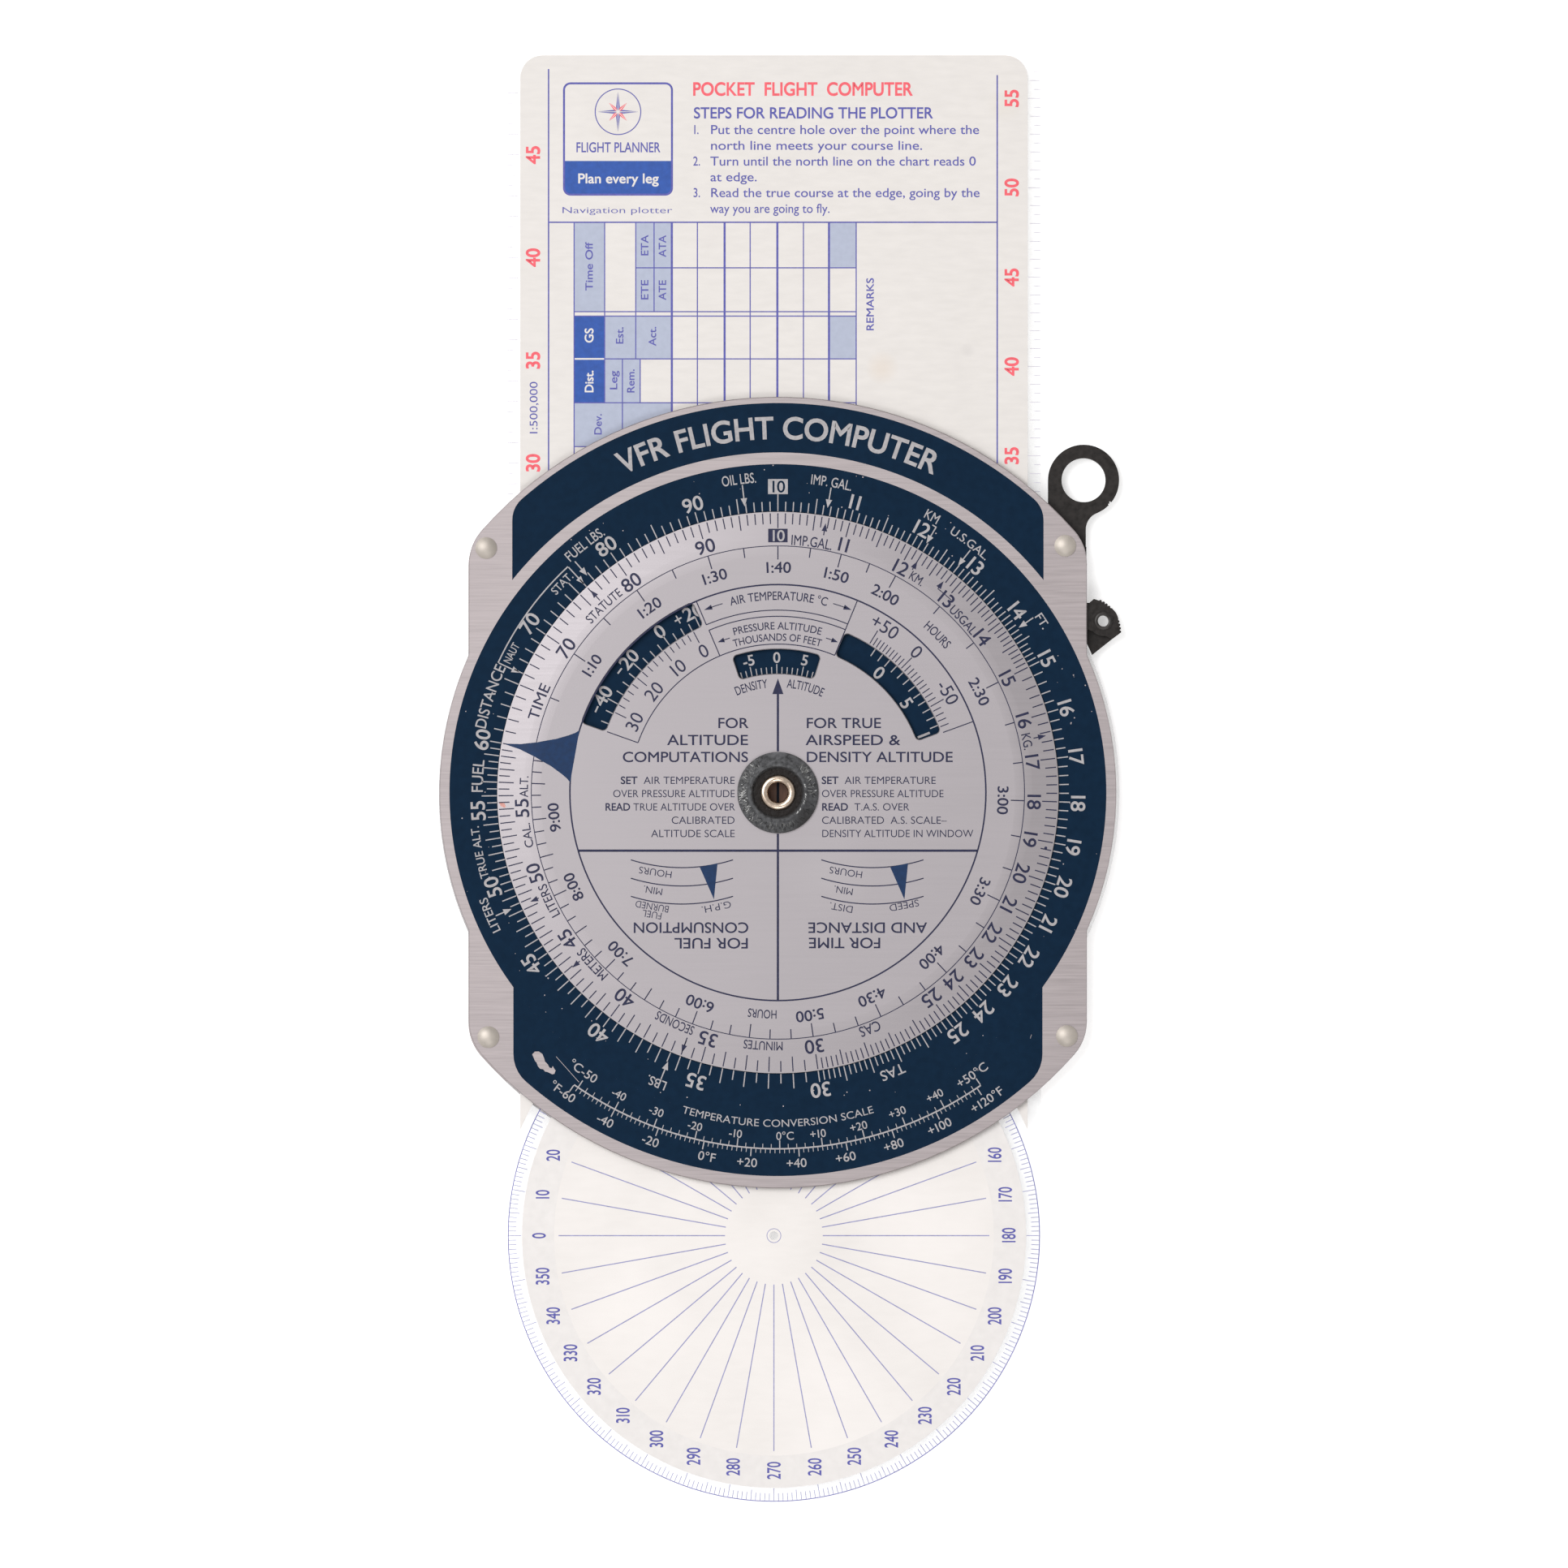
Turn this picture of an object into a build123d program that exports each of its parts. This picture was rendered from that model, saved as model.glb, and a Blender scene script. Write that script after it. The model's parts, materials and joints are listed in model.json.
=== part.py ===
"""Pocket flight computer: a riveted two-plate body holding a rotating calculator dial, a rotating
azimuth disc, a sliding card with its lock lever, and a bracket with a hanging ring.

Units are millimetres. The instrument lies on its back with the calculator side up (+Z), and the
card slides along Y. The origin is the middle of its footprint on the surface it lies on. Sketches
are drawn round the dial pivot, which stands PIVOT_Y from that origin.
"""

import os
from math import atan2, cos, degrees, radians, sin, sqrt, tan

from build123d import *

# --- driving dimensions -------------------------------------------------------------------------
PIVOT_Y = -2.45  # dial pivot, measured from the middle of the footprint

# Outline shared by the two body plates
BODY_R = 71.2  # top and bottom arcs
BODY_HALF_WIDTH = 55.6  # straight sides
BULGE_R = 60.9  # side bulges round the dial
CORNER_FILLET = 9.0
WAIST_FILLET = 1.5

# Thicknesses, from the back to the front
REAR_PLATE_T = 0.8
AZIMUTH_LAYER_T = 1.3  # spacers that leave room for the azimuth disc
SLIDE_LAYER_T = 1.7  # guides that leave room for the card
FRONT_PLATE_T = 0.8
DIAL_GAP = 0.25  # between the front plate and the dial
DIAL_T = 0.8
SPACER_INSET = 0.3  # spacers and guides stay this far inside the plates' outline
CORNER_X, CORNER_Y = 46, 42  # middle of the area a corner spacer is cut from
CORNER_W, CORNER_H = 22, 42
PLATE_EDGE = 0.15  # bevel round the plates' outer edge
REAR_PLATE_SHIFT = (-0.25, -0.35)  # the rear plate was riveted slightly off the front one

# Rivets
RIVET_POINTS = ((-52.1, -44.0), (-52.5, 44.0), (52.0, -43.8), (51.7, 44.4))
RIVET_R = 1.15
RIVET_HEAD_R = 1.95
RIVET_HEAD_EDGE = 0.12
RIVET_HEAD_H = 0.75
RIVET_TAIL_R = 1.7
RIVET_TAIL_H = 0.5
RIVET_FIT = 0.04  # radial room round a shank

# Dial
DIAL_R = 50.5
DIAL_FLAT_R = 44.2  # where the flat and the rim's slope would meet without the rounding
DIAL_BEND_R = 30.0  # radius of the rounding between them
RIM_DROP = 0.65  # how far the rim's top edge is below the flat
RIM_UNDER = 0.12  # how far the rim turns down towards the plate
# Windows as (inner radius, outer radius, start angle, end angle), angles from +X
DIAL_WINDOWS = (
    (32.9, 37.5, 114.2, 160.4),  # air temperature, altitude side
    (26.7, 31.2, 20.4, 67.2),  # pressure altitude, airspeed side
    (21.4, 25.8, 72.6, 108.5),  # density altitude
)
WINDOW_FILLET = 0.8
WINDOW_BEVEL = 0.14

# Pivot
EYELET_BORE_R = 1.8
EYELET_R = 2.3
EYELET_HEAD_R = 3.2
EYELET_HEAD_H = 0.7
EYELET_TAIL_T = 0.3
RUNNING_FIT = 0.05
KNOB_R = 7.3
KNOB_LIP_R = 4.75
KNOB_WELL_R = 4.4
KNOB_H = 1.6
KNOB_EDGE_H = 0.5
KNOB_FLOOR_T = 0.45
WASHER_R = 6.0

# Azimuth disc
AZIMUTH_R = 61.6
AZIMUTH_T = 1.0
AZIMUTH_RIM_FIT = 0.25
AZIMUTH_EDGE = 0.15
GROMMET_BORE_R = 0.75
GROMMET_R = 1.25
GROMMET_FLANGE_R = 2.0
GROMMET_FLANGE_T = 0.12
REAR_WINDOW_R = 47.0

# Card
CARD_X = -0.72  # the card rides towards the left guide
CARD_HALF_WIDTH = 48.1
CARD_TOP = 132.8  # above the pivot
CARD_CORNER_R = 6.6
CARD_SIDE_CLEARANCE = 0.2
CARD_CLEARANCE = 0.1  # behind the card
BACK_FILM_T = 0.15
SHEET_T = 0.75
FILM_T = 0.15
PROTRACTOR_Y = -79.8
PROTRACTOR_HOLE_R = 0.8
PROTRACTOR_FILM_R = 45.4
FILM_HALF_WIDTH = 45.7
FILM_CORNER_R = 4.1
FILM_CUT_R = 49.5  # the log film ends on this arc round the protractor
FELT_HALF_LENGTH = 40.0
FELT_W = 4.0
FELT_Y = 54.0
FELT_END_R = 1.5
FELT_CLEARANCE = 0.02

# Hanging ring, ear and lock lever
RING_X, RING_Y = 55.1, 56.3
RING_HOLE_R = 3.97
RING_R = 6.4
NICK_ANGLE = -42.0  # a worn nick in the ring's outer edge
NICK_DEPTH = 0.45
NECK_RIGHT_X = 55.5
NECK_BOTTOM_Y = 44.3
NECK_FILLET = 3.2
EAR_TIP = (55.4, 23.8)
EAR_EDGE = (60.3, 27.7)
EAR_SIDE = (61.2, 29.4)
EAR_TOP = (57.2, 34.2)
LOCK_X, LOCK_Y = 58.6, 30.9  # lever pivot
LOCK_PIN_R = 1.3
LOCK_PIN_BORE_R = 1.0
LOCK_PIN_FLANGE_R = 1.75
LOCK_PIN_FLANGE_T = 0.2
KNURL_X, KNURL_Y = 55.4, 28.9  # centre of the knurled thumb arc
KNURL_R = 6.15
KNURL_TOOTH_R = 0.26
KNURL_PITCH = 5.8  # degrees
KNURL_TEETH = 12
KNURL_START = 0.5  # angle of the lowest tooth
THUMB_AREA = (  # the thumb piece is the part of the knurled disc inside these corners
    (54.6, 29.8),
    EAR_EDGE,
    (61.9, 28.9),
    (61.9, 35.3),
    (57.4, 35.3),
    (55.9, 34.0),
    (54.6, 34.0),
)
HUB_R = 2.7
NOSE_REACH = 11.15  # from the lever pivot to the tip of the nose
NOSE_R = 1.1
NOSE_ANGLE = 159.0  # where the nose points when the card is free
LEVER_CLEARANCE = 0.1
NOTCH_BOTTOM, NOTCH_TOP = 27.3, 37.4  # opening in the right guide for the lever's sweep

# --- levels -------------------------------------------------------------------------------------
Z_AZIMUTH = REAR_PLATE_T
Z_SLIDE = Z_AZIMUTH + AZIMUTH_LAYER_T
Z_FRONT = Z_SLIDE + SLIDE_LAYER_T
Z_FACE = Z_FRONT + FRONT_PLATE_T
Z_DIAL = Z_FACE + DIAL_GAP
Z_KNOB = Z_DIAL + DIAL_T
Z_AZIMUTH_DISC = Z_AZIMUTH + (AZIMUTH_LAYER_T - AZIMUTH_T) / 2
Z_BACK_FILM = Z_SLIDE + CARD_CLEARANCE
Z_SHEET = Z_BACK_FILM + BACK_FILM_T
Z_FILM = Z_SHEET + SHEET_T

CHANNEL_LEFT = CARD_X - CARD_HALF_WIDTH - CARD_SIDE_CLEARANCE
CHANNEL_RIGHT = CARD_X + CARD_HALF_WIDTH + CARD_SIDE_CLEARANCE


def level(z):
    """The horizontal plane at height z whose origin is on the dial pivot's axis."""
    return Plane((0, PIVOT_Y, z))


def upright(x, y):
    """The plane through (x, y), seen from the pivot, that holds a profile to be revolved."""
    return Plane(origin=(x, y + PIVOT_Y, 0), x_dir=(1, 0, 0), z_dir=(0, -1, 0))


def upright_axis(x, y):
    return Axis((x, y + PIVOT_Y, 0), (0, 0, 1))


def polar(radius, angle, centre=(0, 0)):
    return (centre[0] + radius * cos(radians(angle)), centre[1] + radius * sin(radians(angle)))


def body_outline(inset=0.0):
    """Draws the plates' outline in the current sketch: a disc cut to width, and the side bulges."""
    half = BODY_HALF_WIDTH - inset
    Circle(BODY_R - inset)
    Rectangle(2 * half, 2 * BODY_R, mode=Mode.INTERSECT)
    fillet(vertices(), CORNER_FILLET)
    Circle(BULGE_R - inset)
    waist_y = sqrt((BULGE_R - inset) ** 2 - half**2)
    waist = vertices().filter_by(lambda v: abs(abs(v.Y) - waist_y) < 0.01)
    fillet(waist, WAIST_FILLET)


def rivet_holes():
    """Cuts the four rivet holes from the current sketch."""
    with Locations(*RIVET_POINTS):
        Circle(RIVET_R + RIVET_FIT, mode=Mode.SUBTRACT)


def arc_window(inner, outer, start, end):
    """A window between two radii and two angles round the pivot, with rounded corners."""
    middle = (start + end) / 2
    with BuildSketch(mode=Mode.PRIVATE) as window:
        with BuildLine():
            ThreePointArc(polar(inner, start), polar(inner, middle), polar(inner, end))
            Line(polar(inner, end), polar(outer, end))
            ThreePointArc(polar(outer, end), polar(outer, middle), polar(outer, start))
            Line(polar(outer, start), polar(inner, start))
        make_face()
        fillet(vertices(), WINDOW_FILLET)
    return window.sketch


# --- body plates --------------------------------------------------------------------------------
with BuildSketch() as plate_outline:
    body_outline()

with BuildPart() as rear_plate:
    with BuildSketch(level(0)):
        add(plate_outline.sketch.moved(Location(REAR_PLATE_SHIFT)))
    extrude(amount=REAR_PLATE_T)
    chamfer(edges().group_by(Axis.Z)[0], PLATE_EDGE)
    with BuildSketch(level(0)):
        Circle(REAR_WINDOW_R)
        with Locations(*RIVET_POINTS):
            Circle(RIVET_R + RIVET_FIT)
    extrude(amount=REAR_PLATE_T, mode=Mode.SUBTRACT)
    for x, y in RIVET_POINTS:
        with BuildSketch(upright(x, y)):
            Polygon(
                (0, 0),
                (RIVET_TAIL_R + RIVET_FIT, 0),
                (RIVET_R + RIVET_FIT, RIVET_TAIL_H),
                (0, RIVET_TAIL_H),
                align=None,
            )
        revolve(axis=upright_axis(x, y), mode=Mode.SUBTRACT)
    window_edge = edges().filter_by(GeomType.CIRCLE).filter_by(
        lambda e: abs(e.radius - REAR_WINDOW_R) < 0.01 and e.center().Z < 0.01
    )
    chamfer(window_edge, 0.4)

with BuildPart() as front_plate:
    with BuildSketch(level(Z_FRONT)):
        add(plate_outline.sketch)
    extrude(amount=FRONT_PLATE_T)
    chamfer(edges().group_by(Axis.Z)[-1], PLATE_EDGE)
    with BuildSketch(level(Z_FRONT)):
        with Locations(*RIVET_POINTS):
            Circle(RIVET_R + RIVET_FIT)
        Circle(EYELET_R + RIVET_FIT)
    extrude(amount=FRONT_PLATE_T, mode=Mode.SUBTRACT)

dome_h = RIVET_HEAD_H - RIVET_HEAD_EDGE
dome_r = (RIVET_HEAD_R**2 + dome_h**2) / (2 * dome_h)
dome_start = degrees(atan2(dome_r - dome_h, RIVET_HEAD_R))
rivet_top = Z_FACE + RIVET_HEAD_H
with BuildPart() as corner_rivets:
    for x, y in RIVET_POINTS:
        with BuildSketch(upright(x, y)):
            with BuildLine():
                CenterArc((0, rivet_top - dome_r), dome_r, dome_start, 90 - dome_start)
                Polyline(
                    (0, rivet_top),
                    (0, 0),
                    (RIVET_TAIL_R, 0),
                    (RIVET_R, RIVET_TAIL_H),
                    (RIVET_R, Z_FACE),
                    (RIVET_HEAD_R, Z_FACE),
                    (RIVET_HEAD_R, Z_FACE + RIVET_HEAD_EDGE),
                )
            make_face()
        revolve(axis=upright_axis(x, y))


# --- spacers and guides -------------------------------------------------------------------------
def corner_outline(x_sign, y_sign):
    """Draws one corner of the azimuth layer: the body's outline outside the azimuth disc's rim."""
    body_outline(SPACER_INSET)
    with Locations((x_sign * CORNER_X, y_sign * CORNER_Y)):
        Rectangle(CORNER_W, CORNER_H, mode=Mode.INTERSECT)


def make_corner_spacer(x_sign, y_sign):
    with BuildPart() as spacer:
        with BuildSketch(level(Z_AZIMUTH)):
            corner_outline(x_sign, y_sign)
            Circle(AZIMUTH_R + AZIMUTH_RIM_FIT, mode=Mode.SUBTRACT)
            rivet_holes()
        extrude(amount=AZIMUTH_LAYER_T)
    return spacer


corner_spacer_top_left = make_corner_spacer(-1, 1)
corner_spacer_bottom_left = make_corner_spacer(-1, -1)
corner_spacer_bottom_right = make_corner_spacer(1, -1)

with BuildPart() as slide_guide_left:
    with BuildSketch(level(Z_SLIDE)):
        body_outline(SPACER_INSET)
        with Locations((CHANNEL_LEFT, 0)):
            Rectangle(BODY_R, 2 * BODY_R, align=(Align.MAX, Align.CENTER), mode=Mode.INTERSECT)
        rivet_holes()
    extrude(amount=SLIDE_LAYER_T)


def make_right_guide(bottom, top):
    """The stretch of the right guide between two heights along the card."""
    with BuildPart() as guide:
        with BuildSketch(level(Z_SLIDE)):
            body_outline(SPACER_INSET)
            with Locations((CHANNEL_RIGHT, bottom)):
                Rectangle(BODY_R, top - bottom, align=(Align.MIN, Align.MIN), mode=Mode.INTERSECT)
            rivet_holes()
        extrude(amount=SLIDE_LAYER_T)
    return guide


slide_guide_right = make_right_guide(-BODY_R, NOTCH_BOTTOM)
slide_guide_top_right = make_right_guide(NOTCH_TOP, BODY_R)

felt_bottom = Z_FILM + FILM_T + FELT_CLEARANCE
with BuildPart() as felt_strips:
    with BuildSketch(level(felt_bottom)):
        with Locations((CARD_X, FELT_Y), (CARD_X, -FELT_Y)):
            RectangleRounded(2 * FELT_HALF_LENGTH, FELT_W, FELT_END_R)
    extrude(amount=Z_FRONT - felt_bottom)

# --- dial, knob and pivot -----------------------------------------------------------------------
dial_bore = EYELET_R + RUNNING_FIT
rim_slope = atan2(RIM_DROP, DIAL_R - DIAL_FLAT_R)
bend_reach = DIAL_BEND_R * tan(rim_slope / 2)
bend_start, bend_end = DIAL_FLAT_R - bend_reach, DIAL_FLAT_R + bend_reach * cos(rim_slope)
with BuildPart() as calculator_dial:
    with BuildSketch(upright(0, 0)):
        with BuildLine():
            Polyline(
                (bend_start, Z_KNOB),
                (dial_bore, Z_KNOB),
                (dial_bore, Z_DIAL),
                (DIAL_FLAT_R, Z_DIAL),
                (DIAL_R, Z_DIAL - RIM_UNDER),
                (DIAL_R, Z_KNOB - RIM_DROP),
                (bend_end, Z_KNOB - bend_reach * sin(rim_slope)),
            )
            CenterArc(
                (bend_start, Z_KNOB - DIAL_BEND_R), DIAL_BEND_R, 90 - degrees(rim_slope),
                degrees(rim_slope),
            )
        make_face()
    revolve(axis=upright_axis(0, 0))
    with BuildSketch(level(Z_DIAL)):
        for window in DIAL_WINDOWS:
            add(arc_window(*window))
    extrude(amount=DIAL_T, mode=Mode.SUBTRACT)
    top_edges = faces().filter_by(lambda f: abs(f.center().Z - Z_KNOB) < 0.01).edges()
    dial_centre = Vector(0, PIVOT_Y, Z_KNOB)
    window_rims = top_edges.filter_by(
        lambda e: EYELET_R + 1 < e.distance_to(dial_centre) < bend_start - 1
    )
    chamfer(window_rims, WINDOW_BEVEL)

with BuildPart() as pivot_knob:
    with BuildSketch(upright(0, 0)):
        Polygon(
            (dial_bore, Z_KNOB),
            (KNOB_R, Z_KNOB),
            (KNOB_R, Z_KNOB + KNOB_EDGE_H),
            (KNOB_LIP_R + 0.5, Z_KNOB + KNOB_H),
            (KNOB_LIP_R, Z_KNOB + KNOB_H),
            (KNOB_WELL_R, Z_KNOB + KNOB_FLOOR_T),
            (dial_bore, Z_KNOB + KNOB_FLOOR_T),
            align=None,
        )
    revolve(axis=upright_axis(0, 0))
    fillet(edges().filter_by(lambda e: e.center().Z > Z_KNOB + KNOB_EDGE_H - 0.01), 0.2)

head_bottom = Z_KNOB + KNOB_FLOOR_T + RUNNING_FIT
with BuildPart() as pivot_eyelet:
    with BuildSketch(upright(0, 0)):
        with BuildLine():
            Polyline(
                (EYELET_BORE_R, head_bottom + 0.25),
                (EYELET_BORE_R, Z_FRONT - EYELET_TAIL_T),
                (EYELET_HEAD_R, Z_FRONT - EYELET_TAIL_T),
                (EYELET_HEAD_R, Z_FRONT),
                (EYELET_R, Z_FRONT),
                (EYELET_R, head_bottom),
                (EYELET_HEAD_R, head_bottom),
                (EYELET_HEAD_R, head_bottom + 0.2),
            )
            ThreePointArc(
                (EYELET_HEAD_R, head_bottom + 0.2),
                ((EYELET_HEAD_R + EYELET_BORE_R) / 2, head_bottom + EYELET_HEAD_H),
                (EYELET_BORE_R, head_bottom + 0.25),
            )
        make_face()
    revolve(axis=upright_axis(0, 0))

with BuildPart() as dial_washer:
    with BuildSketch(level(Z_FACE)):
        Circle(WASHER_R)
        Circle(EYELET_R + RIVET_FIT, mode=Mode.SUBTRACT)
    extrude(amount=DIAL_GAP - RUNNING_FIT)

# --- azimuth disc -------------------------------------------------------------------------------
with BuildPart() as azimuth_disc:
    with BuildSketch(level(Z_AZIMUTH_DISC)):
        Circle(AZIMUTH_R)
    extrude(amount=AZIMUTH_T)
    chamfer(edges(), AZIMUTH_EDGE)
    with BuildSketch(level(Z_AZIMUTH_DISC)):
        Circle(GROMMET_R)
    extrude(amount=AZIMUTH_T, mode=Mode.SUBTRACT)

grommet_flanges = (Z_AZIMUTH_DISC - GROMMET_FLANGE_T, Z_AZIMUTH_DISC + AZIMUTH_T)
with BuildPart() as azimuth_grommet:
    with BuildSketch(level(grommet_flanges[0])):
        Circle(GROMMET_R)
    extrude(amount=AZIMUTH_T + 2 * GROMMET_FLANGE_T)
    for z in grommet_flanges:
        with BuildSketch(level(z)):
            Circle(GROMMET_FLANGE_R)
        extrude(amount=GROMMET_FLANGE_T)
    with BuildSketch(level(grommet_flanges[0])):
        Circle(GROMMET_BORE_R)
    extrude(amount=AZIMUTH_T + 2 * GROMMET_FLANGE_T, mode=Mode.SUBTRACT)

# --- card: clear plotter sheet with a film on each face --------------------------------------------
with BuildPart() as plotter_sheet:
    with BuildSketch(level(Z_SHEET)):
        with Locations((CARD_X, CARD_TOP)):
            Rectangle(
                2 * CARD_HALF_WIDTH, CARD_TOP - PROTRACTOR_Y, align=(Align.CENTER, Align.MAX)
            )
        fillet(vertices().group_by(Axis.Y)[-1], CARD_CORNER_R)
        with Locations((CARD_X, PROTRACTOR_Y)):
            Circle(CARD_HALF_WIDTH)
            Circle(PROTRACTOR_HOLE_R, mode=Mode.SUBTRACT)
    extrude(amount=SHEET_T)


def make_card_film(z, thickness):
    """A printed film on one face of the card, which ends on an arc round the protractor."""
    with BuildPart() as film:
        with BuildSketch(level(z)):
            with Locations((CARD_X, CARD_TOP)):
                Rectangle(
                    2 * FILM_HALF_WIDTH, CARD_TOP - PROTRACTOR_Y, align=(Align.CENTER, Align.MAX)
                )
            fillet(vertices().group_by(Axis.Y)[-1], FILM_CORNER_R)
            with Locations((CARD_X, PROTRACTOR_Y)):
                Circle(FILM_CUT_R, mode=Mode.SUBTRACT)
        extrude(amount=thickness)
    return film


log_film = make_card_film(Z_FILM, FILM_T)
wind_grid_film = make_card_film(Z_BACK_FILM, BACK_FILM_T)

with BuildPart() as protractor_film:
    with BuildSketch(level(Z_FILM)):
        with Locations((CARD_X, PROTRACTOR_Y)):
            Circle(PROTRACTOR_FILM_R)
            Circle(PROTRACTOR_HOLE_R, mode=Mode.SUBTRACT)
    extrude(amount=FILM_T)

# --- hanging ring, ear and lock lever --------------------------------------------------------------
with BuildPart() as hanger_bracket:
    # The neck's right side meets the ring on a concave fillet that is tangent to both
    fillet_x = NECK_RIGHT_X + NECK_FILLET
    fillet_y = RING_Y - sqrt((RING_R + NECK_FILLET) ** 2 - (fillet_x - RING_X) ** 2)
    ring_end = degrees(atan2(RING_Y - fillet_y, RING_X - fillet_x))
    with BuildSketch(level(Z_AZIMUTH)):
        corner_outline(1, 1)
        with Locations((BODY_HALF_WIDTH, NECK_BOTTOM_Y)):
            Rectangle(3, NECK_BOTTOM_Y - EAR_TIP[1], align=(Align.MAX, Align.MAX))
        with BuildLine():
            Line((RING_X, RING_Y), (RING_X - RING_R, RING_Y))
            Line((RING_X - RING_R, RING_Y), (RING_X - RING_R, NECK_BOTTOM_Y))
            Line((RING_X - RING_R, NECK_BOTTOM_Y), (NECK_RIGHT_X, NECK_BOTTOM_Y))
            Line((NECK_RIGHT_X, NECK_BOTTOM_Y), (NECK_RIGHT_X, fillet_y))
            ThreePointArc(
                (NECK_RIGHT_X, fillet_y),
                polar(NECK_FILLET, (180 + ring_end) / 2, (fillet_x, fillet_y)),
                polar(NECK_FILLET, ring_end, (fillet_x, fillet_y)),
            )
            Line(polar(NECK_FILLET, ring_end, (fillet_x, fillet_y)), (RING_X, RING_Y))
        make_face()
        with Locations((RING_X, RING_Y)):
            Circle(RING_R)
            Circle(RING_HOLE_R, mode=Mode.SUBTRACT)
        Polygon(
            polar(RING_R + 0.5, NICK_ANGLE - 6, (RING_X, RING_Y)),
            polar(RING_R - 0.6 * NICK_DEPTH, NICK_ANGLE - 2, (RING_X, RING_Y)),
            polar(RING_R - 0.3 * NICK_DEPTH, NICK_ANGLE, (RING_X, RING_Y)),
            polar(RING_R - NICK_DEPTH, NICK_ANGLE + 3, (RING_X, RING_Y)),
            polar(RING_R + 0.5, NICK_ANGLE + 5, (RING_X, RING_Y)),
            align=None,
            mode=Mode.SUBTRACT,
        )
        Polygon(
            (EAR_TIP[0] - 3, EAR_TIP[1]),
            EAR_TIP,
            EAR_EDGE,
            EAR_SIDE,
            EAR_TOP,
            (EAR_TIP[0] - 3, EAR_TOP[1]),
            align=None,
        )
        Circle(AZIMUTH_R + AZIMUTH_RIM_FIT, mode=Mode.SUBTRACT)
        with Locations((LOCK_X, LOCK_Y)):
            Circle(LOCK_PIN_R + 0.01, mode=Mode.SUBTRACT)
        rivet_holes()
    extrude(amount=AZIMUTH_LAYER_T)

with BuildPart() as lock_lever:
    with BuildSketch(level(Z_SLIDE + LEVER_CLEARANCE)):
        with Locations((KNURL_X, KNURL_Y)):
            Circle(KNURL_R)
            with PolarLocations(
                KNURL_R,
                KNURL_TEETH,
                start_angle=KNURL_START,
                angular_range=KNURL_PITCH * (KNURL_TEETH - 1),
                endpoint=True,
            ):
                Circle(KNURL_TOOTH_R)
        Polygon(*THUMB_AREA, align=None, mode=Mode.INTERSECT)
        with Locations((LOCK_X, LOCK_Y)):
            Circle(HUB_R)
        nose = polar(NOSE_REACH - NOSE_R, NOSE_ANGLE, (LOCK_X, LOCK_Y))
        side = NOSE_ANGLE - 90
        Polygon(
            polar(HUB_R * 0.8, side, (LOCK_X, LOCK_Y)),
            polar(NOSE_R, side, nose),
            polar(-NOSE_R, side, nose),
            polar(-HUB_R * 0.8, side, (LOCK_X, LOCK_Y)),
            align=None,
        )
        with Locations(nose):
            Circle(NOSE_R)
        with Locations((LOCK_X, LOCK_Y)):
            Circle(LOCK_PIN_R + RUNNING_FIT, mode=Mode.SUBTRACT)
    extrude(amount=SLIDE_LAYER_T - 2 * LEVER_CLEARANCE)

pin_top = Z_FRONT - LEVER_CLEARANCE + RUNNING_FIT
with BuildPart() as lock_pin:
    with BuildSketch(upright(LOCK_X, LOCK_Y)):
        with BuildLine():
            Polyline(
                (LOCK_PIN_BORE_R, pin_top + LOCK_PIN_FLANGE_T),
                (LOCK_PIN_BORE_R, Z_AZIMUTH - LOCK_PIN_FLANGE_T),
                (LOCK_PIN_FLANGE_R, Z_AZIMUTH - LOCK_PIN_FLANGE_T),
                (LOCK_PIN_FLANGE_R, Z_AZIMUTH),
                (LOCK_PIN_R, Z_AZIMUTH),
                (LOCK_PIN_R, pin_top),
                (LOCK_PIN_FLANGE_R, pin_top),
            )
            ThreePointArc(
                (LOCK_PIN_FLANGE_R, pin_top),
                (LOCK_PIN_R + 0.3, pin_top + 0.8 * LOCK_PIN_FLANGE_T),
                (LOCK_PIN_BORE_R, pin_top + LOCK_PIN_FLANGE_T),
            )
        make_face()
    revolve(axis=upright_axis(LOCK_X, LOCK_Y))

PARTS = {
    "rear_plate": rear_plate,
    "front_plate": front_plate,
    "corner_rivets": corner_rivets,
    "corner_spacer_top_left": corner_spacer_top_left,
    "corner_spacer_bottom_left": corner_spacer_bottom_left,
    "corner_spacer_bottom_right": corner_spacer_bottom_right,
    "hanger_bracket": hanger_bracket,
    "slide_guide_left": slide_guide_left,
    "slide_guide_right": slide_guide_right,
    "slide_guide_top_right": slide_guide_top_right,
    "felt_strips": felt_strips,
    "pivot_eyelet": pivot_eyelet,
    "dial_washer": dial_washer,
    "lock_pin": lock_pin,
    "calculator_dial": calculator_dial,
    "pivot_knob": pivot_knob,
    "azimuth_disc": azimuth_disc,
    "azimuth_grommet": azimuth_grommet,
    "plotter_sheet": plotter_sheet,
    "log_film": log_film,
    "protractor_film": protractor_film,
    "wind_grid_film": wind_grid_film,
    "lock_lever": lock_lever,
}

os.makedirs("parts", exist_ok=True)
for name, builder in PARTS.items():
    builder.part.label = name
    export_step(builder.part, f"parts/{name}.step")
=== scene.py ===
"""Looks for the pocket flight computer: finishes for the CAD pieces, and every printed scale.

Each print is thin real geometry on the front or back surface that carries it. Prints are laid out
in millimetres from the dial's pivot, with angles in degrees clockwise from the top, unless a comment
says otherwise. The floor, the lights and the camera are in metres.
"""

import json
import math
import random

import bpy
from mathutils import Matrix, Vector
from mathutils.geometry import tessellate_polygon


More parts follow.
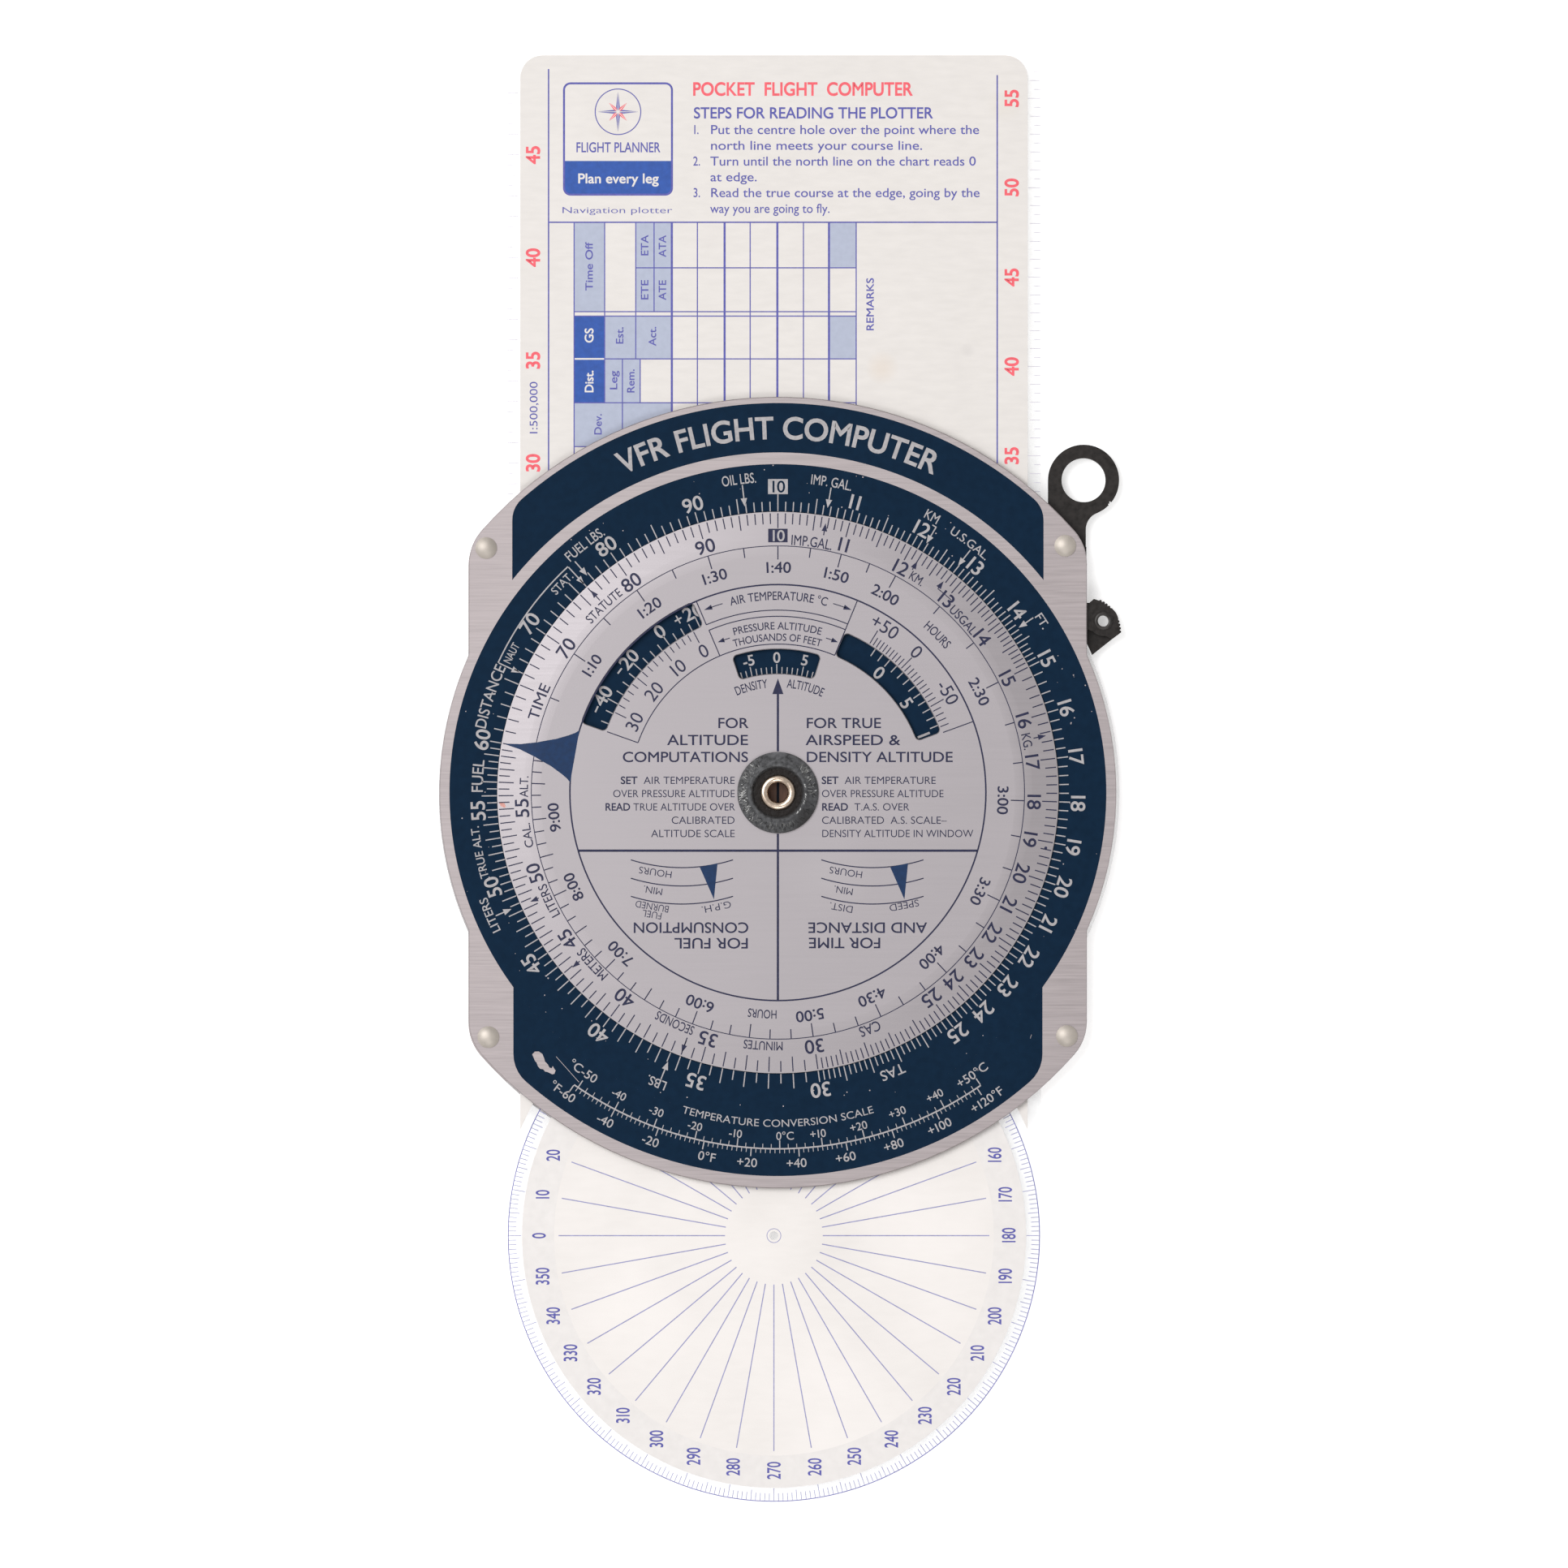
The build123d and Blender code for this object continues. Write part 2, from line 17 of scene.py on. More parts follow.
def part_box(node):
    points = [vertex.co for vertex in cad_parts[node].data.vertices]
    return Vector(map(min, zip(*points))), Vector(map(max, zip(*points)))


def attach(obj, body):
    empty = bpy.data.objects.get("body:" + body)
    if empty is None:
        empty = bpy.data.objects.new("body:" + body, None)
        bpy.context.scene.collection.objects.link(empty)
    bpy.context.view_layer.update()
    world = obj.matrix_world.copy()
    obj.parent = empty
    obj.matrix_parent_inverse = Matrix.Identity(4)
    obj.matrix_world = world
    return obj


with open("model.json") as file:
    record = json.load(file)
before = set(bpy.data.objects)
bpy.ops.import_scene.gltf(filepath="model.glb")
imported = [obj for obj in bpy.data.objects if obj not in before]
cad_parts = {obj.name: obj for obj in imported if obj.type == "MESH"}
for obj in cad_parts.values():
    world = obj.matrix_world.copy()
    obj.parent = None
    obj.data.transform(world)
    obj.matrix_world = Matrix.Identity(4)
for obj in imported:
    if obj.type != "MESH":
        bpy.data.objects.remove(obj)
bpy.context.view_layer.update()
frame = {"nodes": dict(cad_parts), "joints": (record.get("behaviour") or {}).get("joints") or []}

MM = 0.001
JOINTS = {joint["name"]: joint for joint in frame["joints"]}
PIVOT_Y = JOINTS["dial_spin"]["pos_m"][1] / MM


def top_of(node):
    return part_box(node)[1].z / MM


def flat(height):
    """A flat surface, as the function of x and y that gives its height."""
    return lambda x, y: height


def polar(radius, cw, centre=(0, 0)):
    angle = math.radians(cw)
    return (centre[0] + radius * math.sin(angle), centre[1] + radius * math.cos(angle))


def arc_points(radius, start, end, centre=(0, 0), step=1.5):
    count = max(2, math.ceil(abs(end - start) / step))
    return [polar(radius, start + (end - start) * i / count, centre) for i in range(count + 1)]


# --- materials ------------------------------------------------------------------------------------
def node(tree, kind, inputs=None, **settings):
    made = tree.nodes.new("ShaderNode" + kind)
    for key, value in settings.items():
        setattr(made, key, value)
    for key, value in (inputs or {}).items():
        if isinstance(value, bpy.types.NodeSocket):
            tree.links.new(value, made.inputs[key])
        else:
            made.inputs[key].default_value = value
    return made


def noise(tree, coords, scale, detail=4.0, stretch=(1, 1, 1)):
    """Noise whose features are about 1/scale metres, drawn out along an axis whose stretch is low."""
    placed = node(tree, "Mapping", {"Vector": coords, "Scale": stretch})
    return node(
        tree, "TexNoise", {"Vector": placed.outputs["Vector"], "Scale": scale, "Detail": detail}
    ).outputs["Fac"]


def spread(tree, value, low, high, from_low=0.3, from_high=0.7):
    """Takes a noise value to the range from low to high."""
    return node(
        tree, "MapRange",
        {"Value": value, "From Min": from_low, "From Max": from_high, "To Min": low, "To Max": high},
    ).outputs["Result"]


def blend(tree, factor, first, second, kind="MIX"):
    made = node(tree, "Mix", data_type="RGBA", blend_type=kind)
    for socket, value in zip((0, 6, 7), (factor, first, second)):
        if isinstance(value, bpy.types.NodeSocket):
            tree.links.new(value, made.inputs[socket])
        else:
            made.inputs[socket].default_value = value if socket == 0 else (*value, 1)
    return made.outputs[2]


def tint(colour, factor):
    return tuple(min(1.0, c * factor) for c in colour)


BLOTCH_SCALE = 45  # noise scale of the larger blotches on every finish
MARK_CORE = 0.3  # share of a mark's radius that is full, where the mark gives no core
MARK_Z = 4  # height of every mark's centre, about half way up the instrument


def near(tree, coords, x, y, core, radius):
    """1 within the core round a place on the instrument, fading to 0 at the radius."""
    gap = node(
        tree, "VectorMath",
        {0: coords, 1: (x * MM, (y + PIVOT_Y) * MM, MARK_Z * MM)}, operation="DISTANCE",
    ).outputs["Value"]
    return node(
        tree, "MapRange",
        {"Value": gap, "From Min": core * MM, "From Max": radius * MM, "To Min": 1.0, "To Max": 0.0},
    ).outputs["Result"]


def finish_of(
    name, colour, rough, metallic=0.0, contrast=0.08, grain=400, stretch=(1, 1, 1), blotch=0.05,
    bump=0.1, depth=0.00002, specular=0.5, alpha=1.0, marks=(), rough_range=0.06, coat=0.0,
):
    """A material whose grain, larger blotches, roughness and relief all come from noise. Marks are
    (x, y, radius, strength, colour), and may end with the radius inside which they are full."""
    made = bpy.data.materials.new("finish_" + name)
    made.use_nodes = True
    tree = made.node_tree
    shader = tree.nodes["Principled BSDF"]
    coords = node(tree, "TexCoord").outputs["Object"]
    fine = noise(tree, coords, grain, stretch=stretch)
    wide = noise(tree, coords, BLOTCH_SCALE, detail=3.0)
    shade = blend(
        tree, spread(tree, fine, 0, 1), tint(colour, 1 - contrast), tint(colour, 1 + contrast)
    )
    shade = blend(tree, spread(tree, wide, 0, blotch), shade, tint(colour, 0.5))
    for x, y, radius, strength, mark_colour, *core in marks:
        mask = near(tree, coords, x, y, core[0] if core else radius * MARK_CORE, radius)
        uneven = node(tree, "Math", {0: mask, 1: spread(tree, wide, strength, strength * 0.4)},
                      operation="MULTIPLY").outputs["Value"]
        shade = blend(tree, uneven, shade, mark_colour)
    tree.links.new(shade, shader.inputs["Base Color"])
    tree.links.new(
        spread(tree, fine, rough - rough_range, rough + rough_range), shader.inputs["Roughness"]
    )
    relief = node(tree, "Bump", {"Strength": bump, "Distance": depth, "Height": fine})
    tree.links.new(relief.outputs["Normal"], shader.inputs["Normal"])
    shader.inputs["Metallic"].default_value = metallic
    shader.inputs["Specular IOR Level"].default_value = specular
    shader.inputs["Coat Weight"].default_value = coat
    shader.inputs["Alpha"].default_value = alpha
    return made


FINISHES = {
    "plate_aluminium": finish_of(
        "plate_aluminium", (0.385, 0.343, 0.348), 0.5, metallic=0.9, contrast=0.12, grain=1,
        stretch=(110, 4200, 110), bump=0.25, blotch=0.05,
    ),
    "dial_aluminium": finish_of(
        "dial_aluminium", (0.38, 0.353, 0.37), 0.5, metallic=0.9, contrast=0.02, grain=1,
        stretch=(90, 2500, 90), bump=0.015, blotch=0.04, rough_range=0.025,
        marks=((9, -14, 9, 0.12, (0.62, 0.6, 0.6)), (-20, 22, 12, 0.1, (0.33, 0.3, 0.3))),
    ),
    "rivet_nickel": finish_of(
        "rivet_nickel", (0.55, 0.5, 0.45), 0.55, metallic=0.75, contrast=0.1, grain=500,
        blotch=0.25, bump=0.3,
    ),
    "eyelet_nickel": finish_of(
        "eyelet_nickel", (0.68, 0.55, 0.44), 0.25, metallic=1.0, contrast=0.15, grain=1200,
        blotch=0.1,
    ),
    "spacer_aluminium": finish_of(
        "spacer_aluminium", (0.5, 0.49, 0.48), 0.45, metallic=0.9, grain=800, stretch=(1, 4, 1),
    ),
    "felt": finish_of("felt", (0.2, 0.2, 0.21), 0.95, contrast=0.3, grain=2500, bump=0.8,
                      depth=0.0002, specular=0.1),
    "washer_plastic": finish_of("washer_plastic", (0.7, 0.7, 0.68), 0.5, contrast=0.03, grain=700),
    "black_plastic": finish_of(
        "black_plastic", (0.016, 0.013, 0.012), 0.4, contrast=0.4, grain=1100, bump=0.3,
        depth=0.00006, blotch=0.3, rough_range=0.1, specular=0.25,
    ),
    "clear_plastic": finish_of(
        "clear_plastic", (0.84, 0.85, 0.86), 0.12, contrast=0.06, grain=300, stretch=(1, 3, 1),
        alpha=0.2, bump=0.04, specular=0.4,
    ),
    "white_film": finish_of(
        "white_film", (0.707, 0.674, 0.648), 0.55, contrast=0.028, grain=1, stretch=(260, 900, 260),
        blotch=0.035, bump=0.05, specular=0.25,
        marks=((18.8, 76.5, 3.2, 0.35, (0.66, 0.5, 0.34)), (41, 124, 3.5, 0.25, (0.66, 0.55, 0.4)),
               (34.1, 79.6, 1.6, 0.35, (0.36, 0.34, 0.34)), (-26, 76.2, 1.5, 0.3, (0.4, 0.38, 0.4)),
               (-30, 119, 4.5, 0.1, (0.6, 0.52, 0.44)), (8, 96, 7, 0.08, (0.6, 0.52, 0.5)),
               (-43.5, 96, 5, 0.12, (0.68, 0.6, 0.56)), (-0.7, -92, 100, 0.75, (0.85, 0.81, 0.79)),
               (-24, 79, 2.5, 0.3, (0.4, 0.36, 0.36)), (-12, 100, 3, 0.1, (0.55, 0.5, 0.5))),
    ),
    "navy_print": finish_of(
        "navy_print", (0.005, 0.018, 0.041), 0.5, contrast=0.1, grain=700, blotch=0.1, bump=0.05,
        specular=0.032,
    ),
}
# Inks, of which the last three share a slot with another one
for name, colour, contrast, grain in (
    ("dial_print", (0.021, 0.023, 0.06), 0.2, 1500),
    ("white_print", (0.385, 0.368, 0.378), 0.12, 1800),
    ("blue_print", (0.105, 0.105, 0.37), 0.15, 1500),
    ("red_print", (0.82, 0.125, 0.155), 0.12, 1500),
    ("pale_blue_print", (0.415, 0.45, 0.56), 0.04, 900),
    ("mid_blue_print", (0.033, 0.092, 0.36), 0.12, 900),
    ("grey_print", (0.75, 0.72, 0.705), 0.03, 600),
    ("pointer_blue", (0.007, 0.029, 0.09), 0.15, 1200),
    ("faint_blue", (0.3, 0.3, 0.5), 0.15, 1500),
    ("margin_grey", (0.55, 0.52, 0.6), 0.1, 1500),
):
    FINISHES[name] = finish_of(name, colour, 0.5, contrast=contrast, grain=grain, specular=0.2)

# Other finishes that share a slot with another one
# painted shade: near black, for the gap round the dial's edge and the line down the eyelet's bore
DEEP_PAINTED_SHADE = finish_of("deep_painted_shade", (0.004, 0.006, 0.011), 0.6, contrast=0.2, grain=900, specular=0.05)
PALE_STAIN = finish_of("pale_stain", (0.62, 0.3, 0.26), 0.5, contrast=0.3, grain=1800, specular=0.3)
# painted shade: dull brown for the depth of the eyelet's bore
BORE_PAINTED_SHADE = finish_of("bore_painted_shade", (0.075, 0.04, 0.027), 0.5, contrast=0.4, grain=1,
                       stretch=(1500, 200, 200), blotch=0.2, specular=0.2)
# raised strokes on the knob: mid grey, light grey for painted highlight on strokes, and near black for
# painted shade on them
SCUFF, PAINTED_HIGHLIGHT_STROKE, PAINTED_SHADE_STROKE = (
    finish_of(name, (level, level, level * 0.98), 0.6, contrast=0.5, grain=1600, blotch=0.3, bump=0.3,
              specular=0.3)
    for name, level in (("scuff", 0.17), ("painted_highlight_stroke", 0.5), ("painted_shade_stroke", 0.012))
)

# Pieces that look different from the rest of their slot
NODE_FINISHES = {
    # scuffed black plastic; the lighter marks at the left, right and top are painted sheen, the dark mark
    # lower right is painted shade, and the near-black middle is painted shade in the knob's well
    "pivot_knob": finish_of(
        "knob_wear_painted_sheen_and_shade", (0.075, 0.076, 0.08), 0.35, contrast=0.6, grain=1500, bump=0.6, depth=0.0001,
        blotch=0.6, rough_range=0.1, specular=0.25,
        marks=((-6.3, 0.4, 2.6, 2, (0.26, 0.26, 0.26)), (-4.9, 4, 2.2, 1.5, (0.18, 0.18, 0.18)),
               (5.9, 3, 2.4, 1.2, (0.13, 0.135, 0.135)), (4.6, -4.6, 4, 2, (0.02, 0.018, 0.018)),
               (0, 6.8, 3, 2, (0.14, 0.14, 0.15)), (0, 0, 5.1, 2.5, (0.008, 0.005, 0.004), 4.6)),
    ),
    "lock_pin": finish_of(
        "dark_pin", (0.03, 0.027, 0.026), 0.4, metallic=0.3, contrast=0.4, grain=900, specular=0.4,
    ),
}

for name, cad_node in frame["nodes"].items():
    for material_slot in cad_node.material_slots:
        material_slot.material = NODE_FINISHES.get(name) or FINISHES[material_slot.material.name]


# --- prints ---------------------------------------------------------------------------------------
INK = 0.004  # thickness of a printed layer
LAYER = 0.006  # from one printed layer to the next
CLEAR = 0.002  # gap under the ink, so that it never lies in the surface
BEND_CLEAR = 0.012  # the same gap on the dial, whose rim bends under a straight edge
BEND_STEP = 0.6  # longest straight piece of a line on the dial
NARROW_ONE = 0.72  # share of its usual room that the digit 1 takes
STRONG = 0.02  # how much a heavy letter's outline is moved out, in the font's own units
CORNER_LIMIT = 1.2  # the most that a letter's corner is moved, in multiples of its weight
PRINTS = []  # every print, built at the end


class Print:
    """One colour of print on one body: flat shapes, each made a thin closed solid.

    A print under its surface is drawn as seen from behind, so it's turned half round the y axis.
    """

    def __init__(self, name, body, slot, height, layer=0, finish=None, under=False):
        self.name, self.body, self.slot, self.height = name, body, slot, height
        self.way = -1 if under else 1
        self.finish = finish or FINISHES[slot]
        self.lift = (BEND_CLEAR if height is on_dial else CLEAR) + layer * LAYER
        self.points, self.faces = [], []
        PRINTS.append(self)

    def add(self, outline, faces):
        """Adds a flat shape: its points, and its faces as lists of their numbers."""
        base, count = len(self.points), len(outline)
        for lift in (self.lift + INK, self.lift):
            self.points += [
                (self.way * x, y, self.height(x, y) + self.way * lift) for x, y in outline
            ]
        for face in faces:
            face = face if twice_area(outline, face) > 0 else face[::-1]
            self.faces.append([base + i for i in face])
            self.faces.append([base + count + i for i in reversed(face)])
        for a, b in open_edges(outline, faces):
            self.faces.append([base + b, base + a, base + count + a, base + count + b])

    def region(self, *outlines):
        """A filled shape. Outlines after the first are holes in it."""
        flat = [point for outline in outlines for point in outline]
        triangles = tessellate_polygon([[Vector((x, y, 0)) for x, y in o] for o in outlines])
        self.add(flat, [list(triangle) for triangle in triangles])

    def strip(self, pairs):
        """A ribbon between two edges, given as the pairs of points across it."""
        self.add([point for pair in pairs for point in pair],
                 [[2 * i, 2 * i + 1, 2 * i + 3, 2 * i + 2] for i in range(len(pairs) - 1)])

    def line(self, start, end, width):
        """A straight line, in short steps where the surface bends."""
        dx, dy = end[0] - start[0], end[1] - start[1]
        reach = math.hypot(dx, dy)
        ox, oy = -dy / reach * width / 2, dx / reach * width / 2
        steps = math.ceil(reach / BEND_STEP) if self.height is on_dial else 1
        middles = [(start[0] + dx * i / steps, start[1] + dy * i / steps) for i in range(steps + 1)]
        self.strip([((x + ox, y + oy), (x - ox, y - oy)) for x, y in middles])

    def tick(self, cw, inner, outer, width=0.22, centre=(0, 0)):
        self.line(polar(inner, cw, centre), polar(outer, cw, centre), width)

    def band(self, inner, outer, start=0.0, end=360.0, centre=(0, 0), step=2.0):
        """A ring, or part of one, between two radii."""
        inside = arc_points(inner, start, end, centre, step)
        outside = arc_points(outer, start, end, centre, step)
        whole = abs(end - start) >= 360
        if whole:
            inside, outside = inside[:-1], outside[:-1]
        count = len(inside)
        faces = [
            [i, (i + 1) % count, count + (i + 1) % count, count + i]
            for i in range(count if whole else count - 1)
        ]
        self.add(inside + outside, faces)

    def arc_line(self, radius, start, end, width, centre=(0, 0)):
        self.band(radius - width / 2, radius + width / 2, start, end, centre)

    def disc(self, x, y, radius, sides=10):
        self.add([polar(radius, 360 * i / sides, (x, y)) for i in range(sides)],
                 [list(range(sides))])

    def arrow(self, cw, tail, tip, head=1.5, width=1.0, stem=0.22):
        """An arrow along a radius, pointing from the tail's radius to the tip's."""
        neck = tip - math.copysign(head, tip - tail)
        self.tick(cw, tail, neck, stem)
        half = math.degrees(width / 2 / neck)
        self.add([polar(tip, cw), polar(neck, cw - half), polar(neck, cw + half)], [[0, 1, 2]])

    def glyph(self, mark, weight, place, right, up, scale, squeeze):
        """One letter, centred on a place, with its reading and upright directions given."""
        outline, faces = glyph_shape(mark, weight)
        middle = advance(mark) / 2
        if mark == "1":
            middle = sum(x for x, _ in outline) / len(outline)
        moved = []
        for gx, gy in outline:
            u, v = (gx - middle) * scale * squeeze, (gy - CAP / 2) * scale
            moved.append((place[0] + right[0] * u + up[0] * v, place[1] + right[1] * u + up[1] * v))
        if faces:
            self.add(moved, faces)

    def arc_text(self, text, cw, radius, cap, width=None, squeeze=0.85, weight=0.0, inward=False,
                 centre=(0, 0)):
        """Words along a circle, with their tops outward, or inward. Width is the length along it."""
        scale, natural, squeeze = fitted(text, cap, width, squeeze)
        turn = -1 if inward else 1
        along = -natural * squeeze / 2
        for mark in text:
            step = advance(mark) * scale * squeeze
            angle = cw + turn * math.degrees((along + step / 2) / radius)
            a = math.radians(angle)
            up = (turn * math.sin(a), turn * math.cos(a))
            self.glyph(mark, weight, polar(radius, angle, centre), (up[1], -up[0]), up, scale, squeeze)
            along += step

    def text(self, text, x, y, cap, width=None, squeeze=0.85, weight=0.0, turn=0.0, side=0, strong=0):
        """Words on a straight line turned anticlockwise. Side: -1 starts at x, 1 ends at x, 0
        centres. Strong: how many letters at the start are heavier."""
        scale, natural, squeeze = fitted(text, cap, width, squeeze)
        a = math.radians(turn)
        right, up = (math.cos(a), math.sin(a)), (-math.sin(a), math.cos(a))
        along = -natural * squeeze * (side + 1) / 2
        for i, mark in enumerate(text):
            step = advance(mark) * scale * squeeze
            middle = along + step / 2
            self.glyph(mark, STRONG if i < strong else weight,
                       (x + right[0] * middle, y + right[1] * middle), right, up, scale, squeeze)
            along += step

    def build(self):
        """Makes the mesh, and lets it ride on its body."""
        mesh = bpy.data.meshes.new(self.name)
        mesh.from_pydata(
            [(x * MM, (y + PIVOT_Y) * MM, z * MM) for x, y, z in self.points], [], self.faces
        )
        mesh.materials.append(self.finish)
        piece = bpy.data.objects.new(self.name, mesh)
        bpy.context.scene.collection.objects.link(piece)
        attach(piece, self.body)


GLYPHS, ADVANCES = {}, {}  # the letters made so far, and the room that each one takes


def text_shape(body):
    """The filled outline of some letters in the built-in font, as points and faces."""
    curve = bpy.data.curves.new("letters", "FONT")
    curve.body, curve.resolution_u, curve.fill_mode = body, 5, "FRONT"
    holder = bpy.data.objects.new("letters", curve)
    mesh = holder.to_mesh()
    shape = ([(v.co.x, v.co.y) for v in mesh.vertices], [list(p.vertices) for p in mesh.polygons])
    holder.to_mesh_clear()
    bpy.data.objects.remove(holder)
    bpy.data.curves.remove(curve)
    return shape


def sides_of(face):
    return list(zip(face, face[1:] + face[:1]))


def twice_area(outline, face):
    """Twice the area of a face, negative when its points run clockwise."""
    return sum(
        outline[a][0] * outline[b][1] - outline[b][0] * outline[a][1] for a, b in sides_of(face)
    )


def open_edges(outline, faces):
    """The edges round a filled shape, each with the shape on its left."""
    edges = set()
    for face in faces:
        pairs = sides_of(face)
        if twice_area(outline, face) < 0:
            pairs = [(b, a) for a, b in pairs]
        for a, b in pairs:
            if (b, a) in edges:
                edges.remove((b, a))
            else:
                edges.add((a, b))
    return edges


def heavier(outline, faces, weight):
    """Moves the edge of a filled shape out by the weight, or in when it is negative."""
    normals = [[] for _ in outline]
    for a, b in open_edges(outline, faces):
        dx, dy = outline[b][0] - outline[a][0], outline[b][1] - outline[a][1]
        reach = math.hypot(dx, dy)
        if reach:
            for i in (a, b):
                normals[i].append((dy / reach, -dx / reach))
    moved = []
    for (x, y), found in zip(outline, normals):
        nx, ny = sum(n[0] for n in found), sum(n[1] for n in found)
        square = nx * nx + ny * ny
        push = weight * min(CORNER_LIMIT, 2 / math.sqrt(square)) / math.sqrt(square) if square > 0.01 else 0
        moved.append((x + nx * push, y + ny * push))
    return moved


def glyph_shape(mark, weight):
    """A letter's outline, made heavier by the weight, and its faces."""
    if (mark, weight) not in GLYPHS:
        outline, faces = text_shape(mark)
        GLYPHS[mark, weight] = (heavier(outline, faces, weight), faces)
    return GLYPHS[mark, weight]


def advance(mark):
    """How far the next letter starts after this one."""
    if mark not in ADVANCES:
        room = right_end(mark + "I") - right_end("I")
        ADVANCES[mark] = room * NARROW_ONE if mark == "1" else room
    return ADVANCES[mark]


def right_end(body):
    return max(x for x, _ in text_shape(body)[0])


def fitted(text, cap, width, squeeze):
    """The letters' scale, their length at it, and their squeeze, which a given width settles."""
    scale = cap / CAP
    natural = sum(advance(mark) for mark in text) * scale
    return scale, natural, width / natural if width else squeeze


CAP = max(y for _, y in text_shape("I")[0])  # height of a capital in the font's own units

PLATE_TOP = top_of("front_plate")
DIAL_TOP = top_of("calculator_dial")
# the dial's section: where its flat ends, its edge, how far the rim falls, and the bend's radius
DIAL_FLAT_R, DIAL_RIM_R, RIM_DROP, DIAL_BEND_R = 44.2, 50.5, 0.65, 30.0
RIM_SLOPE = math.atan2(RIM_DROP, DIAL_RIM_R - DIAL_FLAT_R)
BEND_REACH = DIAL_BEND_R * math.tan(RIM_SLOPE / 2)


on_plate, on_film, on_sheet = flat(PLATE_TOP), flat(top_of("log_film")), flat(top_of("plotter_sheet"))


def on_dial(x, y):
    """The dial's face: flat, then a bend of a large radius, then the sloping rim."""
    past = math.hypot(x, y) - DIAL_FLAT_R + BEND_REACH
    if past <= 0:
        return DIAL_TOP
    if past < BEND_REACH * (1 + math.cos(RIM_SLOPE)):
        return DIAL_TOP - DIAL_BEND_R + math.sqrt(DIAL_BEND_R**2 - past**2)
    return DIAL_TOP - math.tan(RIM_SLOPE) * (past - BEND_REACH)


def log_angle(value):
    """Where a value stands on the circular slide-rule scales, whose 10 is at the top."""
    return 360 * math.log10(value / 10)


def scale_marks():
    """The circular scale's graduations, as (value, whether it is a long one)."""
    for first, last, step, long_step in (
        (100, 150, 1, 5), (150, 300, 2, 10), (300, 600, 5, 10), (600, 1000, 10, 50)
    ):
        for tenths in range(first, last, step):
            yield tenths / 10, tenths % long_step == 0


SCALE_LABELS = [*range(11, 26), *range(30, 65, 5), 70, 80, 90]


def word_arcs(ink, words):
    for text, cw, radius, cap, width in words:
        ink.arc_text(text, cw, radius, cap, width=width, weight=0.006)


# Front plate: the fixed outer scale, the title band and the temperature scale
plate_navy = Print("plate_print_navy", "frame", "navy_print", on_plate)
plate_light = Print("plate_print_light", "frame", "white_print", on_plate, layer=1)
plate_digits = Print("plate_print_boxed_digits", "frame", "navy_print", on_plate, layer=2)

OUTER_RING = (49.5, 59.1)
BAND = (61.2, 70.1)
plate_navy.band(*OUTER_RING, step=1.5)

tip_cw = math.degrees(math.asin(47.8 / BAND[0]))
band_round = (42.8, math.sqrt((BAND[1] - 5) ** 2 - 42.8**2))
round_cw = math.degrees(math.atan2(*band_round))
plate_navy.region(
    arc_points(BAND[0], tip_cw, -tip_cw)
    + arc_points(5, -90, -round_cw, (-band_round[0], band_round[1]), 10)
    + arc_points(BAND[1], -round_cw, round_cw)[1:-1]
    + arc_points(5, round_cw, 90, band_round, 10)
)

LOWER_HALF, LOWER_R, LOWER_ROUND = 47.6, 69.0, 6.6
lower_x = LOWER_HALF - LOWER_ROUND
lower_round = (lower_x, -math.sqrt((LOWER_R - LOWER_ROUND) ** 2 - lower_x**2))
meet_cw = 180 - math.degrees(math.asin(LOWER_HALF / OUTER_RING[1]))
lower_cw = math.degrees(math.atan2(*lower_round))
plate_navy.region(
    arc_points(OUTER_RING[1], 360 - meet_cw, meet_cw)
    + arc_points(LOWER_ROUND, 90, lower_cw, lower_round, 10)
    + arc_points(LOWER_R, lower_cw, 360 - lower_cw)[1:-1]
    + arc_points(LOWER_ROUND, -lower_cw, -90, (-lower_x, lower_round[1]), 10)
)

plate_light.arc_text("VFR FLIGHT COMPUTER", 0, 65.6, 3.85, width=59.3, weight=0.02)

for value, is_long in scale_marks():
    end = 53.3 if is_long else 52.35
    if value == 10:
        end = 53.68
    elif value in SCALE_LABELS:
        end = 52.6
    plate_light.tick(log_angle(value), 50.0, end, 0.2)
for value in SCALE_LABELS:
    plate_light.arc_text(str(value), log_angle(value), 54.05, 2.5, squeeze=1.05, weight=0.014)
plate_light.region([(-1.78, 53.7), (1.78, 53.7), (1.78, 56.4), (-1.78, 56.4)])
plate_digits.text("10", 0, 55.05, 2.05, squeeze=1.05, weight=0.01)

word_arcs(plate_light, (
    ("OIL LBS.", -7.1, 56.8, 1.8, 6.3), ("IMP. GAL.", 9.8, 56.7, 1.75, 7.6),
    ("KM", 29.2, 56.9, 1.7, 2.9), ("U.S.GAL.", 37.6, 56.7, 1.5, 8.4), ("FT.", 57.0, 56.7, 1.5, 3.0),
    ("FUEL LBS.", -37.9, 56.7, 1.75, 8.3), ("STAT.", -45.9, 54.1, 1.45, 4.7),
    ("NAUT", -62.4, 54.1, 1.4, 3.9), ("DISTANCE", -71.6, 54.8, 1.95, 12.0),
    ("FUEL", -86.9, 54.1, 2.0, 6.0), ("TRUE ALT.", 258.7, 54.9, 1.45, 9.6),
    ("LITERS", 246.9, 56.4, 1.5, 6.7), ("LBS.", 202.7, 56.6, 1.6, 3.8), ("TAS", 157.7, 54.4, 1.8, 4.6),
))
